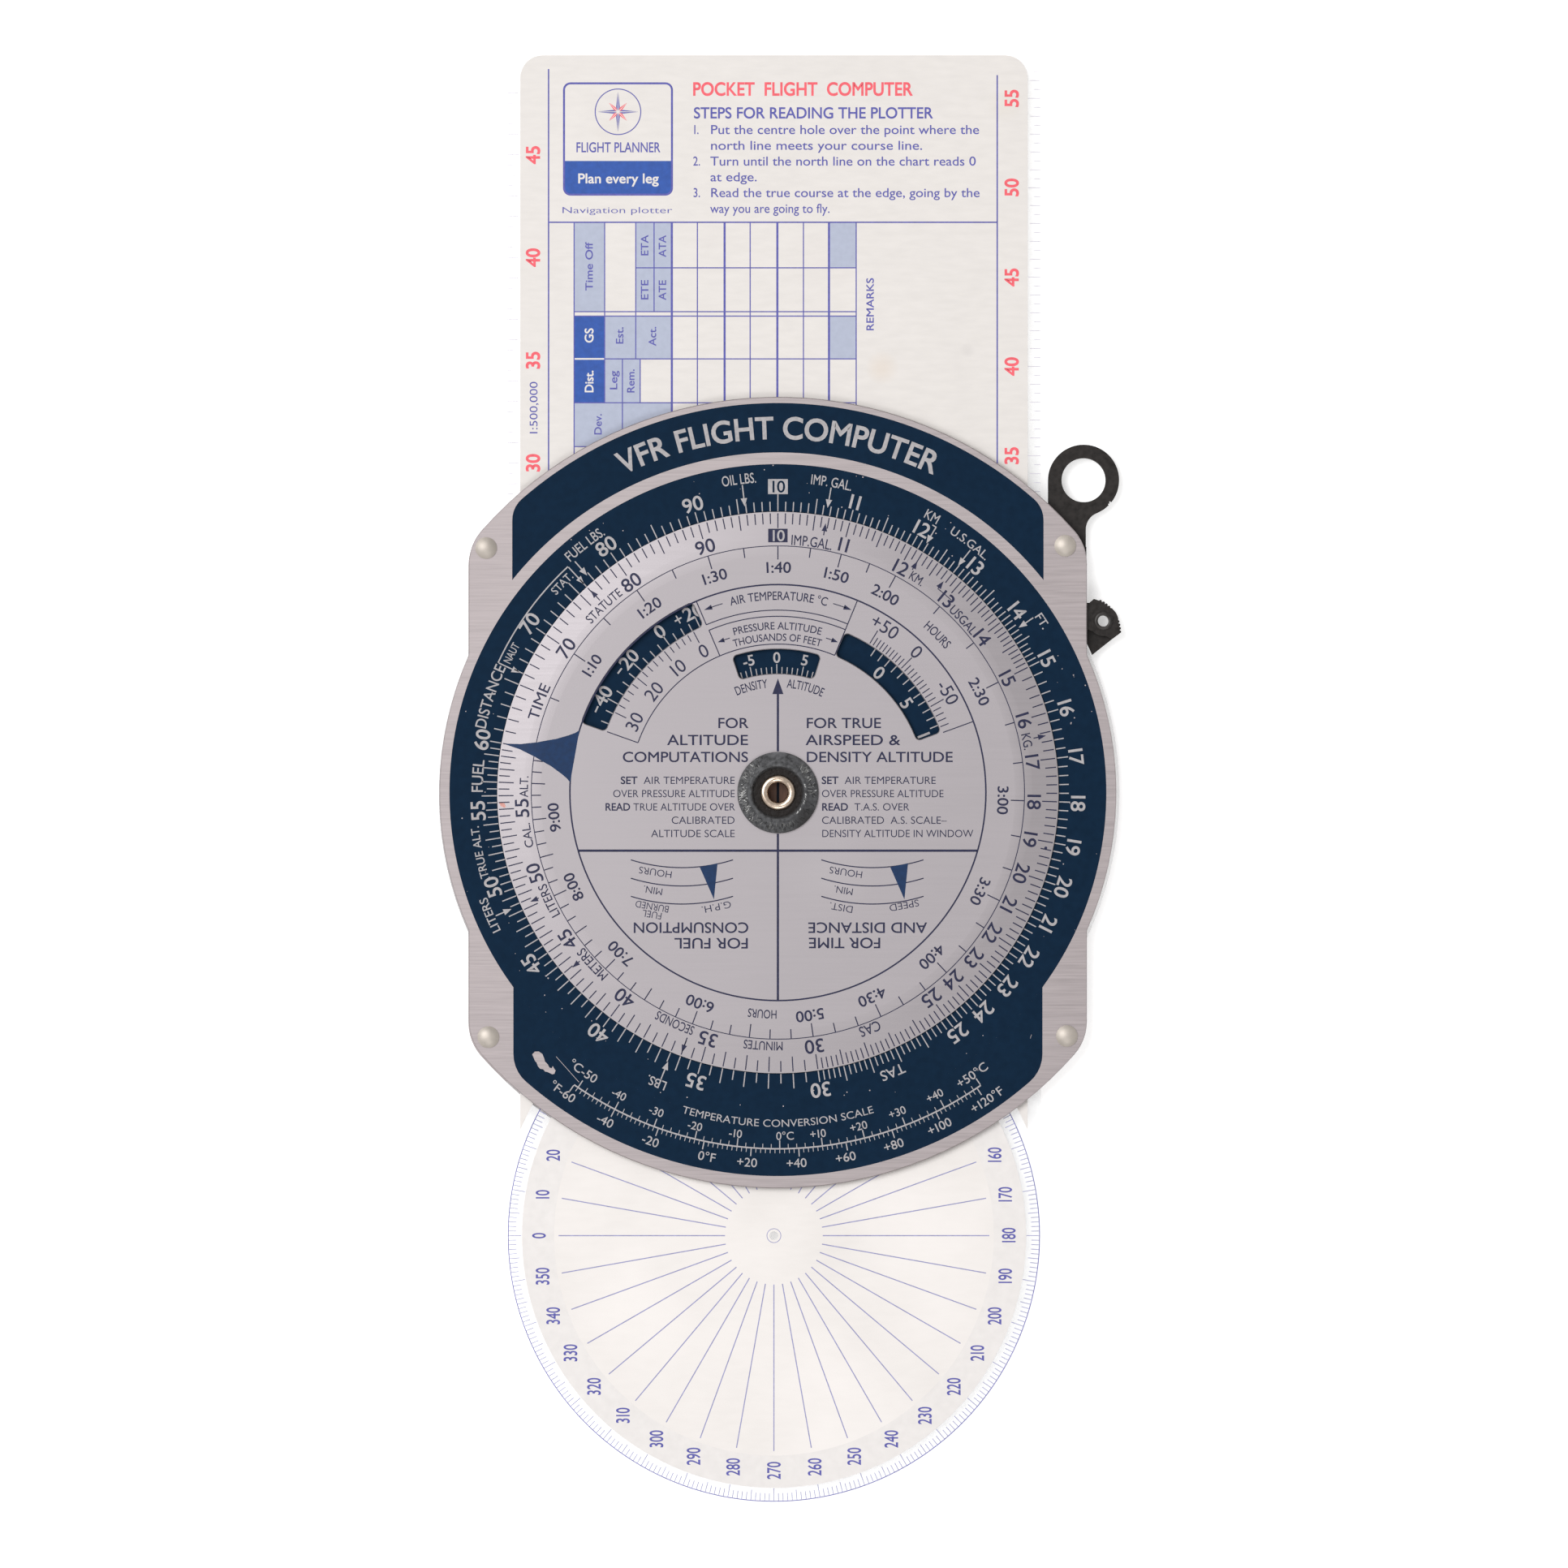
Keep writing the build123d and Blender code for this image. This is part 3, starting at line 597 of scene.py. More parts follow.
for cw, tail, tip in (
    (-6.6, 55.7, 51.8), (9.9, 55.7, 52.0), (38.45, 55.7, 52.1), (55.6, 55.7, 52.5),
    (-41.3, 55.35, 52.0), (-42.9, 55.35, 51.2), (-65.1, 55.35, 51.2), (246.4, 55.4, 52.3),
    (202.2, 55.7, 52.3), (30.8, 55.48, 52.2),
):
    plate_light.arrow(cw, tail, tip, width=1.15)
plate_light.arc_line(55.5, -65.1, -42.9, 0.24)
plate_light.arc_line(55.6, 30.0, 30.9, 0.2)

DEGREE_SPREAD = 0.6885  # degrees of arc for one degree Celsius
ZERO_CELSIUS_CW = 179.7


def celsius_angle(celsius):
    return ZERO_CELSIUS_CW - celsius * DEGREE_SPREAD


def fahrenheit_angle(fahrenheit):
    return celsius_angle((fahrenheit - 32) / 1.8)


def signed(number):
    return f"{number:+d}" if number else "0"


TEMPERATURE_R = 64.1
plate_light.arc_line(TEMPERATURE_R, celsius_angle(50), fahrenheit_angle(-60), 0.26)
for angle_of, way, first, last, long_step, short in (
    (celsius_angle, -1, -50, 50, 10, 0.85), (fahrenheit_angle, 1, -60, 120, 20, 0.8)
):
    for degrees in range(first, last + 1, 2):
        reach, width = (1.5, 0.2) if degrees % long_step == 0 else (short, 0.13)
        plate_light.tick(
            angle_of(degrees), TEMPERATURE_R + way * 0.14, TEMPERATURE_R + way * reach, width
        )
for celsius in range(-40, 41, 10):
    label = signed(celsius) + ("" if celsius else "°C")
    lead = -0.9 if celsius == 0 else 0.5
    plate_light.arc_text(
        label, celsius_angle(celsius) + lead, 61.4 if abs(celsius) > 20 else 61.8, 1.4, squeeze=1.0,
        weight=0.006, inward=True,
    )
for fahrenheit in range(-40, 101, 20):
    label = signed(fahrenheit) + ("" if fahrenheit else "°F")
    plate_light.arc_text(
        label, fahrenheit_angle(fahrenheit) + (0.5 if fahrenheit else -0.9), 66.75, 1.55, squeeze=1.05,
        weight=0.006, inward=True,
    )
for label, cw, radius in (
    ("°C-50", 214.95, 61.15), ("°F-60", 215.75, 66.3), ("+50°C", 145.5, 61.7), ("+120°F", 145.8, 66.9)
):
    plate_light.arc_text(label, cw, radius, 1.55, squeeze=1.05, weight=0.006, inward=True)
plate_light.arc_text("TEMPERATURE CONVERSION SCALE", 180, 59.5, 1.3, width=34.8, inward=True)

# The plate's own scales, which show through the dial's windows
plate_navy.band(20.4, 38.4)
KELVIN = 273.15  # the absolute temperature of 0 degrees Celsius
ZERO_CW = 323.7  # where 0 degrees Celsius stands
# pressure altitude in the airspeed window, then density altitude, each as where 0 stands and the
# degrees of arc for a thousand feet
PRESSURE_SCALE, DENSITY_SCALE = (40.2, 3.0), (359.5, 2.4)


def temperature_angle(celsius):
    return ZERO_CW + 360 * math.log10((celsius + KELVIN) / KELVIN)


def altitude_angle(thousands, scale):
    zero_cw, pitch = scale
    return zero_cw + pitch * thousands


for celsius in range(-50, 61, 5):
    plate_light.tick(temperature_angle(celsius), 32.0, 35.0 if celsius % 20 == 0 else 34.3, 0.2)
for celsius in range(-40, 61, 20):
    cw = temperature_angle(celsius)
    digits = str(abs(celsius))
    plate_light.arc_text(digits, cw, 35.95, 2.35, squeeze=1.05, weight=0.016)
    if celsius < 0:
        plate_light.arc_line(35.9, cw - 5.2, cw - 3.3, 0.3)
    elif celsius > 0:
        plate_light.arc_text("+", cw - 4.7, 35.9, 2.35)
for thousands in range(-2, 31):
    plate_light.tick(altitude_angle(thousands, PRESSURE_SCALE), 29.7, 32.0, 0.2)
for thousands in range(0, 31, 5):
    cw = altitude_angle(thousands, PRESSURE_SCALE)
    plate_light.arc_text(str(thousands), cw, 28.2, 2.25, squeeze=1.0, weight=0.016)
for thousands in range(-8, 26):
    cw = altitude_angle(thousands, DENSITY_SCALE)
    plate_light.tick(cw, 20.8, 23.1 if thousands % 5 == 0 else 22.6, 0.18)
for thousands in range(-5, 26, 5):
    cw = altitude_angle(thousands, DENSITY_SCALE)
    plate_light.arc_text(str(thousands), cw, 24.3, 1.85, squeeze=1.0, weight=0.016)

# Painted shade: a dark ring on the plate, where the gap all round the dial's edge falls into shade
plate_painted_gap_shade = Print("plate_painted_dial_gap_shade", "frame", "navy_print", on_plate, layer=2, finish=DEEP_PAINTED_SHADE)
plate_painted_gap_shade.band(50.3, 50.6, step=1.5)

# Wear on the navy print: a chip down to the metal, a scratch beside it, and fine specks
plate_wear = Print("plate_print_wear", "frame", "plate_aluminium", on_plate, layer=2)
plate_wear.region([
    (-44.2, -47.1), (-43.7, -46.6), (-43.0, -46.6), (-42.4, -47.0), (-42.1, -47.7), (-41.9, -48.4),
    (-41.4, -48.9), (-41.1, -49.5), (-40.7, -49.6), (-40.5, -49.2), (-40.3, -49.6), (-40.0, -50.0),
    (-40.2, -50.6), (-40.6, -50.7), (-41.0, -50.5), (-41.4, -50.3), (-41.9, -50.2), (-42.2, -49.8),
    (-42.8, -49.7), (-43.2, -49.2), (-43.4, -48.6), (-43.7, -48.3),
])
plate_wear.line((-39.9, -47.5), (-35.8, -52.1), 0.09)
dice = random.Random(11)
for _ in range(70):
    cw, radius = dice.uniform(0, 360), dice.uniform(52.5, 58.9)
    x, y = polar(radius, cw)
    plate_wear.disc(x, y, dice.uniform(0.05, 0.14), 6)
for _ in range(16):
    cw, radius = dice.uniform(100, 260), dice.uniform(60.5, 67.5)
    x, y = polar(radius, cw)
    if abs(x) < 46 and y > -53:
        plate_wear.line((x, y), (x + dice.uniform(-0.9, 0.9), y + dice.uniform(0.2, 1.2)), 0.07)

# Dial: the rotating inner scale, the hour scale and the instructions
dial_ink = Print("dial_print_scales", "dial", "dial_print", on_dial)
dial_light = Print("dial_print_boxed_digits", "dial", "white_print", on_dial, layer=1)
dial_lines = Print("dial_print_crossing_lines", "dial", "dial_print", on_dial, layer=1)
dial_blue = Print(
    "dial_print_pointers", "dial", "mid_blue_print", on_dial, layer=1, finish=FINISHES["pointer_blue"]
)
dial_red = Print("dial_stain_red", "dial", "red_print", on_dial, finish=PALE_STAIN)

for value, is_long in scale_marks():
    dial_ink.tick(log_angle(value), 47.55 if is_long or value == 10 else 48.3, 50.25, 0.2)
for value in SCALE_LABELS:
    if value != 60:  # the pointer stands there
        dial_ink.arc_text(str(value), log_angle(value), 46.1, 2.4, squeeze=1.05, weight=0.01)
dial_ink.region([(-1.75, 45.0), (1.75, 45.0), (1.75, 47.45), (-1.75, 47.45)])
dial_light.text("10", 0, 46.2, 1.95, squeeze=1.05, weight=0.01)
dial_ink.arc_line(44.35, 0, 360, 0.15)
dial_ink.arc_line(37.4, 0, 360, 0.28)

for minutes in (*range(65, 120, 5), *range(120, 600, 10)):
    is_long = minutes % 30 == 0 if minutes >= 120 else minutes % 10 == 0
    dial_ink.tick(log_angle(minutes), 41.9 if is_long else 42.6, 44.26, 0.2)
for minutes in (70, 80, 90, 100, 110, *range(120, 301, 30), *range(360, 541, 60)):
    dial_ink.arc_text(
        f"{minutes // 60}:{minutes % 60:02d}", log_angle(minutes), 40.5, 1.9, squeeze=1.1,
        weight=0.012,
    )

word_arcs(dial_ink, (
    ("IMP.GAL.", 7.7, 45.5, 1.8, 7.6), ("KM.", 33.0, 45.9, 1.6, 2.9), ("USGAL", 47.0, 45.6, 1.6, 6.2),
    ("HOURS", 45.3, 40.4, 1.6, 5.8), ("HOURS", 184.0, 39.9, 1.5, 5.3),
    ("MINUTES", 183.3, 45.6, 1.55, 7.2), ("SECONDS", 204.1, 45.5, 1.6, 7.4),
    ("CAS", 158.7, 45.6, 1.8, 4.0), ("METERS", 227.2, 45.5, 1.7, 6.9), ("LITERS", 244.7, 45.6, 1.6, 6.4),
    ("CAL.", 260.3, 45.7, 1.5, 4.6), ("ALT.", 271.4, 45.7, 1.5, 3.9),
    ("STATUTE", -43.0, 46.0, 1.6, 8.0), ("TIME", -69.2, 46.0, 1.9, 6.8), ("KG.", 78.4, 45.75, 1.6, 3.1),
))
for cw, tail, tip in (
    (10.07, 47.0, 49.2), (31.1, 46.8, 48.6), (78.0, 47.0, 49.3), (200.3, 47.0, 49.9),
    (229.6, 46.8, 48.6), (246.2, 47.0, 48.7), (-42.8, 47.1, 49.6), (38.1, 46.68, 48.3),
):
    dial_ink.arrow(cw, tail, tip, head=1.45, width=1.0, stem=0.2)
dial_ink.arc_line(46.6, 38.1, 42.0, 0.15)
dial_ink.disc(*polar(49.2, 101.7), 0.28)
dial_red.region([polar(49.0, 267.0), polar(49.3, 266.8), polar(49.9, 267.2), polar(50.2, 267.9),
                 polar(49.8, 268.1), polar(49.2, 267.7)])

# the long pointer of the speed scale, as (radius, half its width in degrees) from its tip
POINTER_CW = 280.1
sides = [
    (49.8, 0.06), (47.0, 0.6), (DIAL_FLAT_R, 1.7), (41.0, 3.5), (39.0, 5.2), (38.0, 6.3), (37.4, 7.3)
]
edge = []
for (r0, half0), (r1, half1) in zip(sides, sides[1:]):
    steps = math.ceil((r0 - r1) / BEND_STEP)
    edge += [(r0 + (r1 - r0) * i / steps, half0 + (half1 - half0) * i / steps) for i in range(steps)]
dial_blue.strip([
    (polar(r, POINTER_CW - half), polar(r, POINTER_CW + half)) for r, half in edge + sides[-1:]
])

# the cross lines, and the altitude and airspeed windows' own scales
CROSS_Y = -10.45
cross_half = math.sqrt(37.3**2 - CROSS_Y**2)
dial_ink.line((-cross_half, CROSS_Y), (cross_half, CROSS_Y), 0.42)
dial_lines.line((0, -7.4), (0, -37.3), 0.4)
dial_lines.line((0, 7.4), (0, 18.0), 0.4)
dial_ink.region([(0, 20.5), (-1.0, 17.7), (1.0, 17.7)])


# the standard atmosphere: kelvin at sea level, and kelvin lost in a thousand feet
SEA_LEVEL, LAPSE = 288.15, 1.9812
PRESSURE_ZERO_CW = 332.3


def pressure_angle(thousands):
    return PRESSURE_ZERO_CW - 360 * math.log10(SEA_LEVEL / (SEA_LEVEL - LAPSE * thousands))


for thousands in range(0, 32, 2):
    dial_ink.tick(pressure_angle(thousands), 30.4 if thousands % 10 == 0 else 31.3, 32.6, 0.18)
for thousands in range(0, 31, 10):
    dial_ink.arc_text(str(thousands), pressure_angle(thousands), 28.75, 2.35, squeeze=1.0)
for celsius in range(-70, 51, 5):
    cw = 44.8 - 180 * math.log10((celsius + KELVIN) / KELVIN)
    dial_ink.tick(cw, 31.5, 34.2 if celsius % 50 == 0 else 33.1, 0.18)
for celsius, cw in ((50, 32.8), (0, 44.6), (-50, 59.5)):
    dial_ink.arc_text(signed(celsius), cw, 35.5, 2.35, squeeze=1.0)
for cw, inner, outer in (
    (289.6, 26.7, 32.6), (337.0, 26.7, 31.75), (336.9, 32.8, 37.3), (22.5, 26.7, 37.3),
    (70.0, 31.6, 37.3),
):
    dial_lines.tick(cw, inner, outer, 0.18)
dial_ink.arc_line(26.7, 289.6, 382.5, 0.18)
dial_ink.arc_line(31.7, 337.0, 382.5, 0.18)
dial_ink.arc_line(32.8, 336.9, 382.5, 0.18)
word_arcs(dial_ink, (
    ("AIR TEMPERATURE °C", 0.3, 35.4, 1.5, 17.8), ("PRESSURE ALTITUDE", -0.2, 30.0, 1.3, 16.2),
    ("THOUSANDS OF FEET", -0.2, 27.95, 1.3, 16.1), ("DENSITY", -14.3, 19.7, 1.55, 6.0),
    ("ALTITUDE", 14.7, 19.7, 1.55, 6.8),
))
for radius, tail, tip in ((35.4, 16.3, 22.0), (29.1, 17.3, 21.8)):
    for way in (-1, 1):
        dial_ink.arc_line(radius, way * tail, way * (tip - 1.8), 0.16)
        base = way * (tip - 2.4)
        dial_ink.region(
            [polar(radius, way * tip), polar(radius - 0.45, base), polar(radius + 0.45, base)]
        )

# headings and instructions round the knob
for row, (left, left_width, right, right_width) in enumerate((
    ("FOR", 5.6, "FOR TRUE", 13.6), ("ALTITUDE", 14.6, "AIRSPEED &", 17.0),
    ("COMPUTATIONS", 22.7, "DENSITY ALTITUDE", 26.5),
)):
    y = 12.5 - 3.05 * row
    dial_ink.text(left, -5.3, y, 1.8, width=left_width, side=1, weight=0.01)
    dial_ink.text(right, 5.0, y, 1.8, width=right_width, side=-1, weight=0.01)
for row, (left, left_strong, left_width, right, right_strong, right_width) in enumerate((
    ("SET  AIR TEMPERATURE", 3, 20.6, "SET  AIR TEMPERATURE", 3, 20.6),
    ("OVER PRESSURE ALTITUDE", 0, 22.0, "OVER PRESSURE ALTITUDE", 0, 22.0),
    ("READ TRUE ALTITUDE OVER", 4, 23.4, "READ  T.A.S. OVER", 4, 15.8),
    ("CALIBRATED", 0, 11.5, "CALIBRATED  A.S. SCALE\u2013", 0, 22.5),
    ("ALTITUDE SCALE", 0, 15.1, "DENSITY ALTITUDE IN WINDOW", 0, 27.3),
)):
    y = 2.2 - 2.39 * row
    dial_ink.text(left, -7.7, y, 1.3, width=left_width, side=1, weight=-0.003, strong=left_strong)
    dial_ink.text(right, 7.84, y, 1.3, width=right_width, side=-1, weight=-0.003, strong=right_strong)


# a panel's arcs: their radius, the degrees to each side, and how far they sag
PANEL_R, PANEL_REACH, PANEL_SAG = 30.9, 17.3, 1.4


def reading_panel(centre, below):
    """Three shallow arcs and a pointer, read with the dial turned half round. Below: its words."""
    for level in (-12.1, -15.4, -18.65):
        dial_ink.arc_line(PANEL_R, 180 - PANEL_REACH, 180 + PANEL_REACH, 0.2,
                          (centre, level - PANEL_SAG + PANEL_R))
    dial_blue.region([(centre + 3.2, -13.4), (centre + 6.4, -12.7), (centre + 5.75, -19.2)])
    for text, x, y, width in (("HOURS", -4.75, -14.35, 6.1), ("MIN.", -5.2, -17.6, 3.6), *below):
        tilt = math.degrees(math.asin(x / PANEL_R))
        dial_ink.text(text, centre + x, y, 1.22, width=width, turn=180 + tilt, weight=-0.004)


reading_panel(-17.25, (
    ("BURNED", -5.35, -20.5, 6.2), ("FUEL", -5.35, -21.95, 3.6), ("G.P.H.", 6.2, -20.6, 5.5),
))
reading_panel(17.0, (("DIST.", -5.6, -20.7, 4.4), ("SPEED", 5.7, -20.3, 5.5)))
for text, x, y, width in (
    ("CONSUMPTION", -5.2, -24.3, 20.9), ("FOR FUEL", -5.2, -27.1, 13.4),
    ("AND DISTANCE", 26.8, -24.3, 21.4), ("FOR TIME", 18.6, -27.05, 13.1),
):
    dial_ink.text(text, x, y, 1.85, width=width, turn=180, side=-1, weight=0.01)

# Card: the planning form on its film
card_blue = Print("card_print_blue", "card", "blue_print", on_film, layer=1)
card_rows = Print("card_print_rows", "card", "blue_print", on_film, layer=2)
card_red = Print("card_print_red", "card", "red_print", on_film, layer=1)
card_pale = Print("card_print_pale_cells", "card", "pale_blue_print", on_film)
card_mid = Print("card_print_solid_cells", "card", "mid_blue_print", on_film)
card_white = Print("card_print_white_words", "card", "white_film", on_film, layer=1)

FORM_LEFT, FORM_RIGHT, FORM_TOP = -41.3, 39.5, 102.7
FORM_BOTTOM = -28.0
THIN, BOLD = 0.2, 0.38
card_blue.line((FORM_LEFT, 130.3), (FORM_LEFT, FORM_BOTTOM), 0.25)
card_blue.line((FORM_RIGHT, 129.2), (FORM_RIGHT, FORM_BOTTOM), 0.25)
card_rows.line((FORM_LEFT, FORM_TOP), (FORM_RIGHT, FORM_TOP), 0.25)

# the form's uprights as (x, top, bottom, width), then its rows
TABLE_LEFT, TABLE_RIGHT = -36.7, 14.1
ROWS = (94.5, 86.6, 85.8, 78.1, 70.2)
for x, top, bottom, width in (
    (TABLE_LEFT, FORM_TOP, FORM_BOTTOM, THIN), (-31.2, FORM_TOP, 70.2, THIN),
    (-25.6, FORM_TOP, 78.1, THIN), (-22.3, FORM_TOP, 86.6, THIN), (-28.0, 78.1, FORM_BOTTOM, THIN),
    (-24.8, 78.1, 70.2, THIN), (-19.1, FORM_TOP, FORM_BOTTOM, BOLD),
    *((x, FORM_TOP, FORM_BOTTOM, BOLD) for x in (-9.6, -0.1, 9.2)),
    *((x, FORM_TOP, FORM_BOTTOM, THIN) for x in (-14.5, -5.0, 4.6, TABLE_RIGHT)),
):
    card_blue.line((x, top), (x, bottom), width)
ROW_STARTS = (-25.6, TABLE_LEFT, TABLE_LEFT, -31.2, TABLE_LEFT)
for start, y in zip(ROW_STARTS, ROWS):
    card_rows.line((start, y), (TABLE_RIGHT, y), THIN)
ROW_PITCH = 7.9
for row in range(1, 12):
    y = ROWS[-1] - ROW_PITCH * row
    card_rows.line((TABLE_LEFT, y), (TABLE_RIGHT, y), THIN)


def cell(ink, x0, x1, y0, y1):
    ink.region([(x0, y0), (x1, y0), (x1, y1), (x0, y1)])


for x0, x1, y0, y1 in (
    (-36.7, -31.2, 86.6, 102.7), (-25.6, -19.1, 86.6, 102.7), (-31.2, -19.1, 78.1, 85.8),
    (-31.2, -24.8, 70.2, 78.1), (-36.7, -19.1, 62.3, 70.2), (9.2, 14.1, 94.5, 102.7),
    (9.2, 14.1, 78.1, 85.8),
):
    cell(card_pale, x0, x1, y0, y1)
cell(card_mid, -36.7, -31.2, 78.1, 85.8)
cell(card_mid, -36.7, -31.2, 70.2, 78.1)
card_white.line((-36.6, 78.1), (-31.3, 78.1), 0.3)
for text, x, y, width in (
    ("Time Off", -34.0, 94.7, 8.6), ("ETA", -24.0, 98.5, 3.8), ("ETE", -24.0, 90.5, 3.7),
    ("ATA", -20.8, 98.4, 3.9), ("ATE", -20.8, 90.5, 3.6), ("Est.", -28.5, 82.3, 3.2),
    ("Act.", -22.6, 82.2, 3.5), ("Leg", -29.6, 74.2, 3.5), ("Rem.", -26.5, 74.1, 4.4),
    ("Dev.", -32.4, 66.3, 3.9), ("REMARKS", 16.6, 87.9, 9.6),
):
    card_blue.text(text, x, y, 1.3, width=width, turn=90, weight=0.014)
card_white.text("GS", -34.0, 82.3, 1.5, width=2.7, turn=90, weight=0.02)
card_white.text("Dist.", -34.0, 74.0, 1.5, width=4.1, turn=90, weight=0.02)
card_blue.text("1:500,000", -44.0, 69.2, 1.4, width=9.7, turn=90)

# heading block, with a plain compass star in its box
BOX = (-38.7, -18.9, 107.5, 127.9)
BOX_ROUND, BOX_LINE, BAND_TOP = 1.35, 0.36, 113.75


def box_corners(inset):
    return ((BOX[0] + inset, BOX[2] + inset, 180), (BOX[0] + inset, BOX[3] - inset, 270),
            (BOX[1] - inset, BOX[3] - inset, 0), (BOX[1] - inset, BOX[2] + inset, 90))


def rounded_box(radius):
    return [p for x, y, start in box_corners(BOX_ROUND)
            for p in arc_points(radius, start, start + 90, (x, y), 15)]


card_blue.region(rounded_box(BOX_ROUND), rounded_box(BOX_ROUND - BOX_LINE)[::-1])
lower_left, _, _, lower_right = box_corners(BOX_ROUND)
card_mid.region(
    [(BOX[0], BAND_TOP)] + arc_points(BOX_ROUND, -90, -180, lower_left[:2], 15)
    + arc_points(BOX_ROUND, 180, 90, lower_right[:2], 15) + [(BOX[1], BAND_TOP)]
)
STAR = (-28.8, 122.6)
for cw in range(0, 360, 45):
    ink, reach, waist = (card_blue, 3.6, 0.9) if cw % 90 == 0 else (card_red, 2.3, 0.8)
    for side in (-1, 1):
        # each point is two halves, with a sliver of film between them
        ink.region([polar(0.25, cw + side * 18, STAR), polar(reach, cw + side * 0.6, STAR),
                    polar(waist, cw + side * 21.5, STAR)])
card_blue.arc_line(4.1, 0, 360, 0.18, STAR)
card_blue.text("FLIGHT PLANNER", -28.8, 116.2, 1.75, width=15.2, weight=0.012)
card_white.text("Plan every leg", -28.8, 110.6, 1.7, width=14.6, weight=0.02)
card_blue.text("Navigation plotter", -29.0, 104.9, 1.1, width=20.0, weight=-0.006)

card_red.text("POCKET  FLIGHT  COMPUTER", -15.4, 126.7, 2.3, width=39.6, side=-1, weight=0.026)
card_blue.text("STEPS FOR READING THE PLOTTER", -15.2, 122.4, 1.95, width=43.1, side=-1, weight=0.016)
for row, (number, text, right_end_x) in enumerate((
    ("1.", "Put the centre hole over the point where the", 36.3),
    ("", "north line meets your course line.", 26.1),
    ("2.", "Turn until the north line on the chart reads 0", 35.7),
    ("", "at edge.", -3.7),
    ("3.", "Read the true course at the edge, going by the", 36.4),
    ("", "way you are going to fly.", 9.4),
)):
    y = 119.4 - 2.84 * row
    card_blue.text(number, -15.3, y, 1.6, side=-1, squeeze=0.8, weight=0.008)
    card_blue.text(text, -12.2, y, 1.6, width=right_end_x + 12.2, side=-1, weight=0.006)

# chart distances at 1:500,000 up both sides, as where 0 stands and how long a mile is
NAUTICAL_SCALE, STATUTE_SCALE = (-51.8, 3.704), (-52.0, 3.2187)
for x, (zero, pitch), last in ((-44.1, NAUTICAL_SCALE, 45), (42.1, STATUTE_SCALE, 55)):
    for value in range(5, last + 1, 5):
        y = zero + value * pitch
        card_red.text(str(value), x, y, 2.4, turn=90, squeeze=0.95, weight=0.026)

# distance ticks on the clear margins
margin_ink = Print(
    "card_margin_ticks", "card", "blue_print", on_sheet, finish=FINISHES["margin_grey"]
)
for outer, full, whole_reach, (zero, pitch), halves in (
    (-48.75, 2.1, 2.0, NAUTICAL_SCALE, 98), (47.3, -2.25, -1.9, STATUTE_SCALE, 114)
):
    for half in range(halves):
        y = zero + half * pitch / 2
        reach = full if half % 10 == 0 else whole_reach if half % 2 == 0 else full / 2
        margin_ink.line((outer, y), (outer + reach, y), 0.11)

# Protractor: degree ring and rays round the centre hole
CARD_X, ROSE_Y = -0.72, -79.8
CENTRE = (CARD_X, ROSE_Y)
faint = FINISHES["faint_blue"]
rays = Print("protractor_print_rays", "card", "blue_print", on_film, layer=1, finish=faint)
ring_digits = Print("protractor_print_degrees", "card", "blue_print", on_film, layer=1)
ring_grey = Print("protractor_print_ring", "card", "grey_print", on_film)
degree_ink = Print("protractor_degree_ticks", "card", "blue_print", on_sheet, finish=faint)
# painted shade: a thin line on the clear sheet's rounded edge, where the edge shows darker
painted_sheet_edge = Print("protractor_painted_edge_shade", "card", "blue_print", on_sheet)
ring_grey.band(39.6, 45.35, centre=CENTRE)
rays.arc_line(1.25, 0, 360, 0.12, CENTRE)
for angle in range(0, 360, 10):
    rays.tick(angle, 8.8, 38.8, 0.19, CENTRE)
for angle in range(0, 360):
    inner = 45.5 if angle % 10 == 0 else 45.95 if angle % 5 == 0 else 46.4
    degree_ink.tick(angle, inner, 47.75, 0.13, CENTRE)
painted_sheet_edge.arc_line(47.85, 0, 360, 0.15, CENTRE)
for angle in range(0, 360, 10):
    # the number is 0 at the left and grows clockwise over the top
    x, y = polar(42.3, 270 + angle, CENTRE)
    label = str(angle)
    ring_digits.text(label, x, y, 2.35, squeeze=0.62, weight=0.014, turn=90)

# Back: the azimuth disc's degree ring, and the wind grid on the card's back film
under_azimuth = flat(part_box("azimuth_disc")[0].z / MM)
under_card = flat(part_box("wind_grid_film")[0].z / MM)
azimuth_ink = Print("azimuth_print", "azimuth", "dial_print", under_azimuth, under=True)
azimuth_ink.arc_line(46.3, 0, 360, 0.2)
for angle in range(0, 360, 2):
    azimuth_ink.tick(angle, 43.6 if angle % 10 == 0 else 44.8, 46.15, 0.18)
POINTS = {0: "N", 90: "E", 180: "S", 270: "W"}
for angle in range(0, 360, 30):
    azimuth_ink.arc_text(POINTS.get(angle, str(angle // 10)), angle, 41.0, 3.0, weight=0.01)

GRID_HALF, GRID_FOOT, GRID_TOP_Y = 42.0, -170.0, 128.0
GRID_ZERO_R = 75  # a circle's speed is its radius less this
grid_ink = Print("wind_grid_arcs", "card", "blue_print", under_card, under=True)
grid_lines = Print("wind_grid_lines", "card", "blue_print", under_card, layer=1, under=True)
grid_centre = (-CARD_X, GRID_FOOT)
for radius in range(125, 296, 5):
    reach = math.degrees(math.asin(GRID_HALF / radius))
    width = 0.25 if radius % 25 == 0 else 0.13
    grid_ink.arc_line(radius, -reach, reach, width, grid_centre)
for angle in range(-15, 16, 5):
    tilt = math.radians(abs(angle))
    limit = (GRID_TOP_Y - GRID_FOOT) / math.cos(tilt)
    outer = min(limit, GRID_HALF / math.sin(tilt)) if angle else limit
    if outer > 130:
        grid_lines.tick(angle, 125, outer - 2, 0.16, grid_centre)
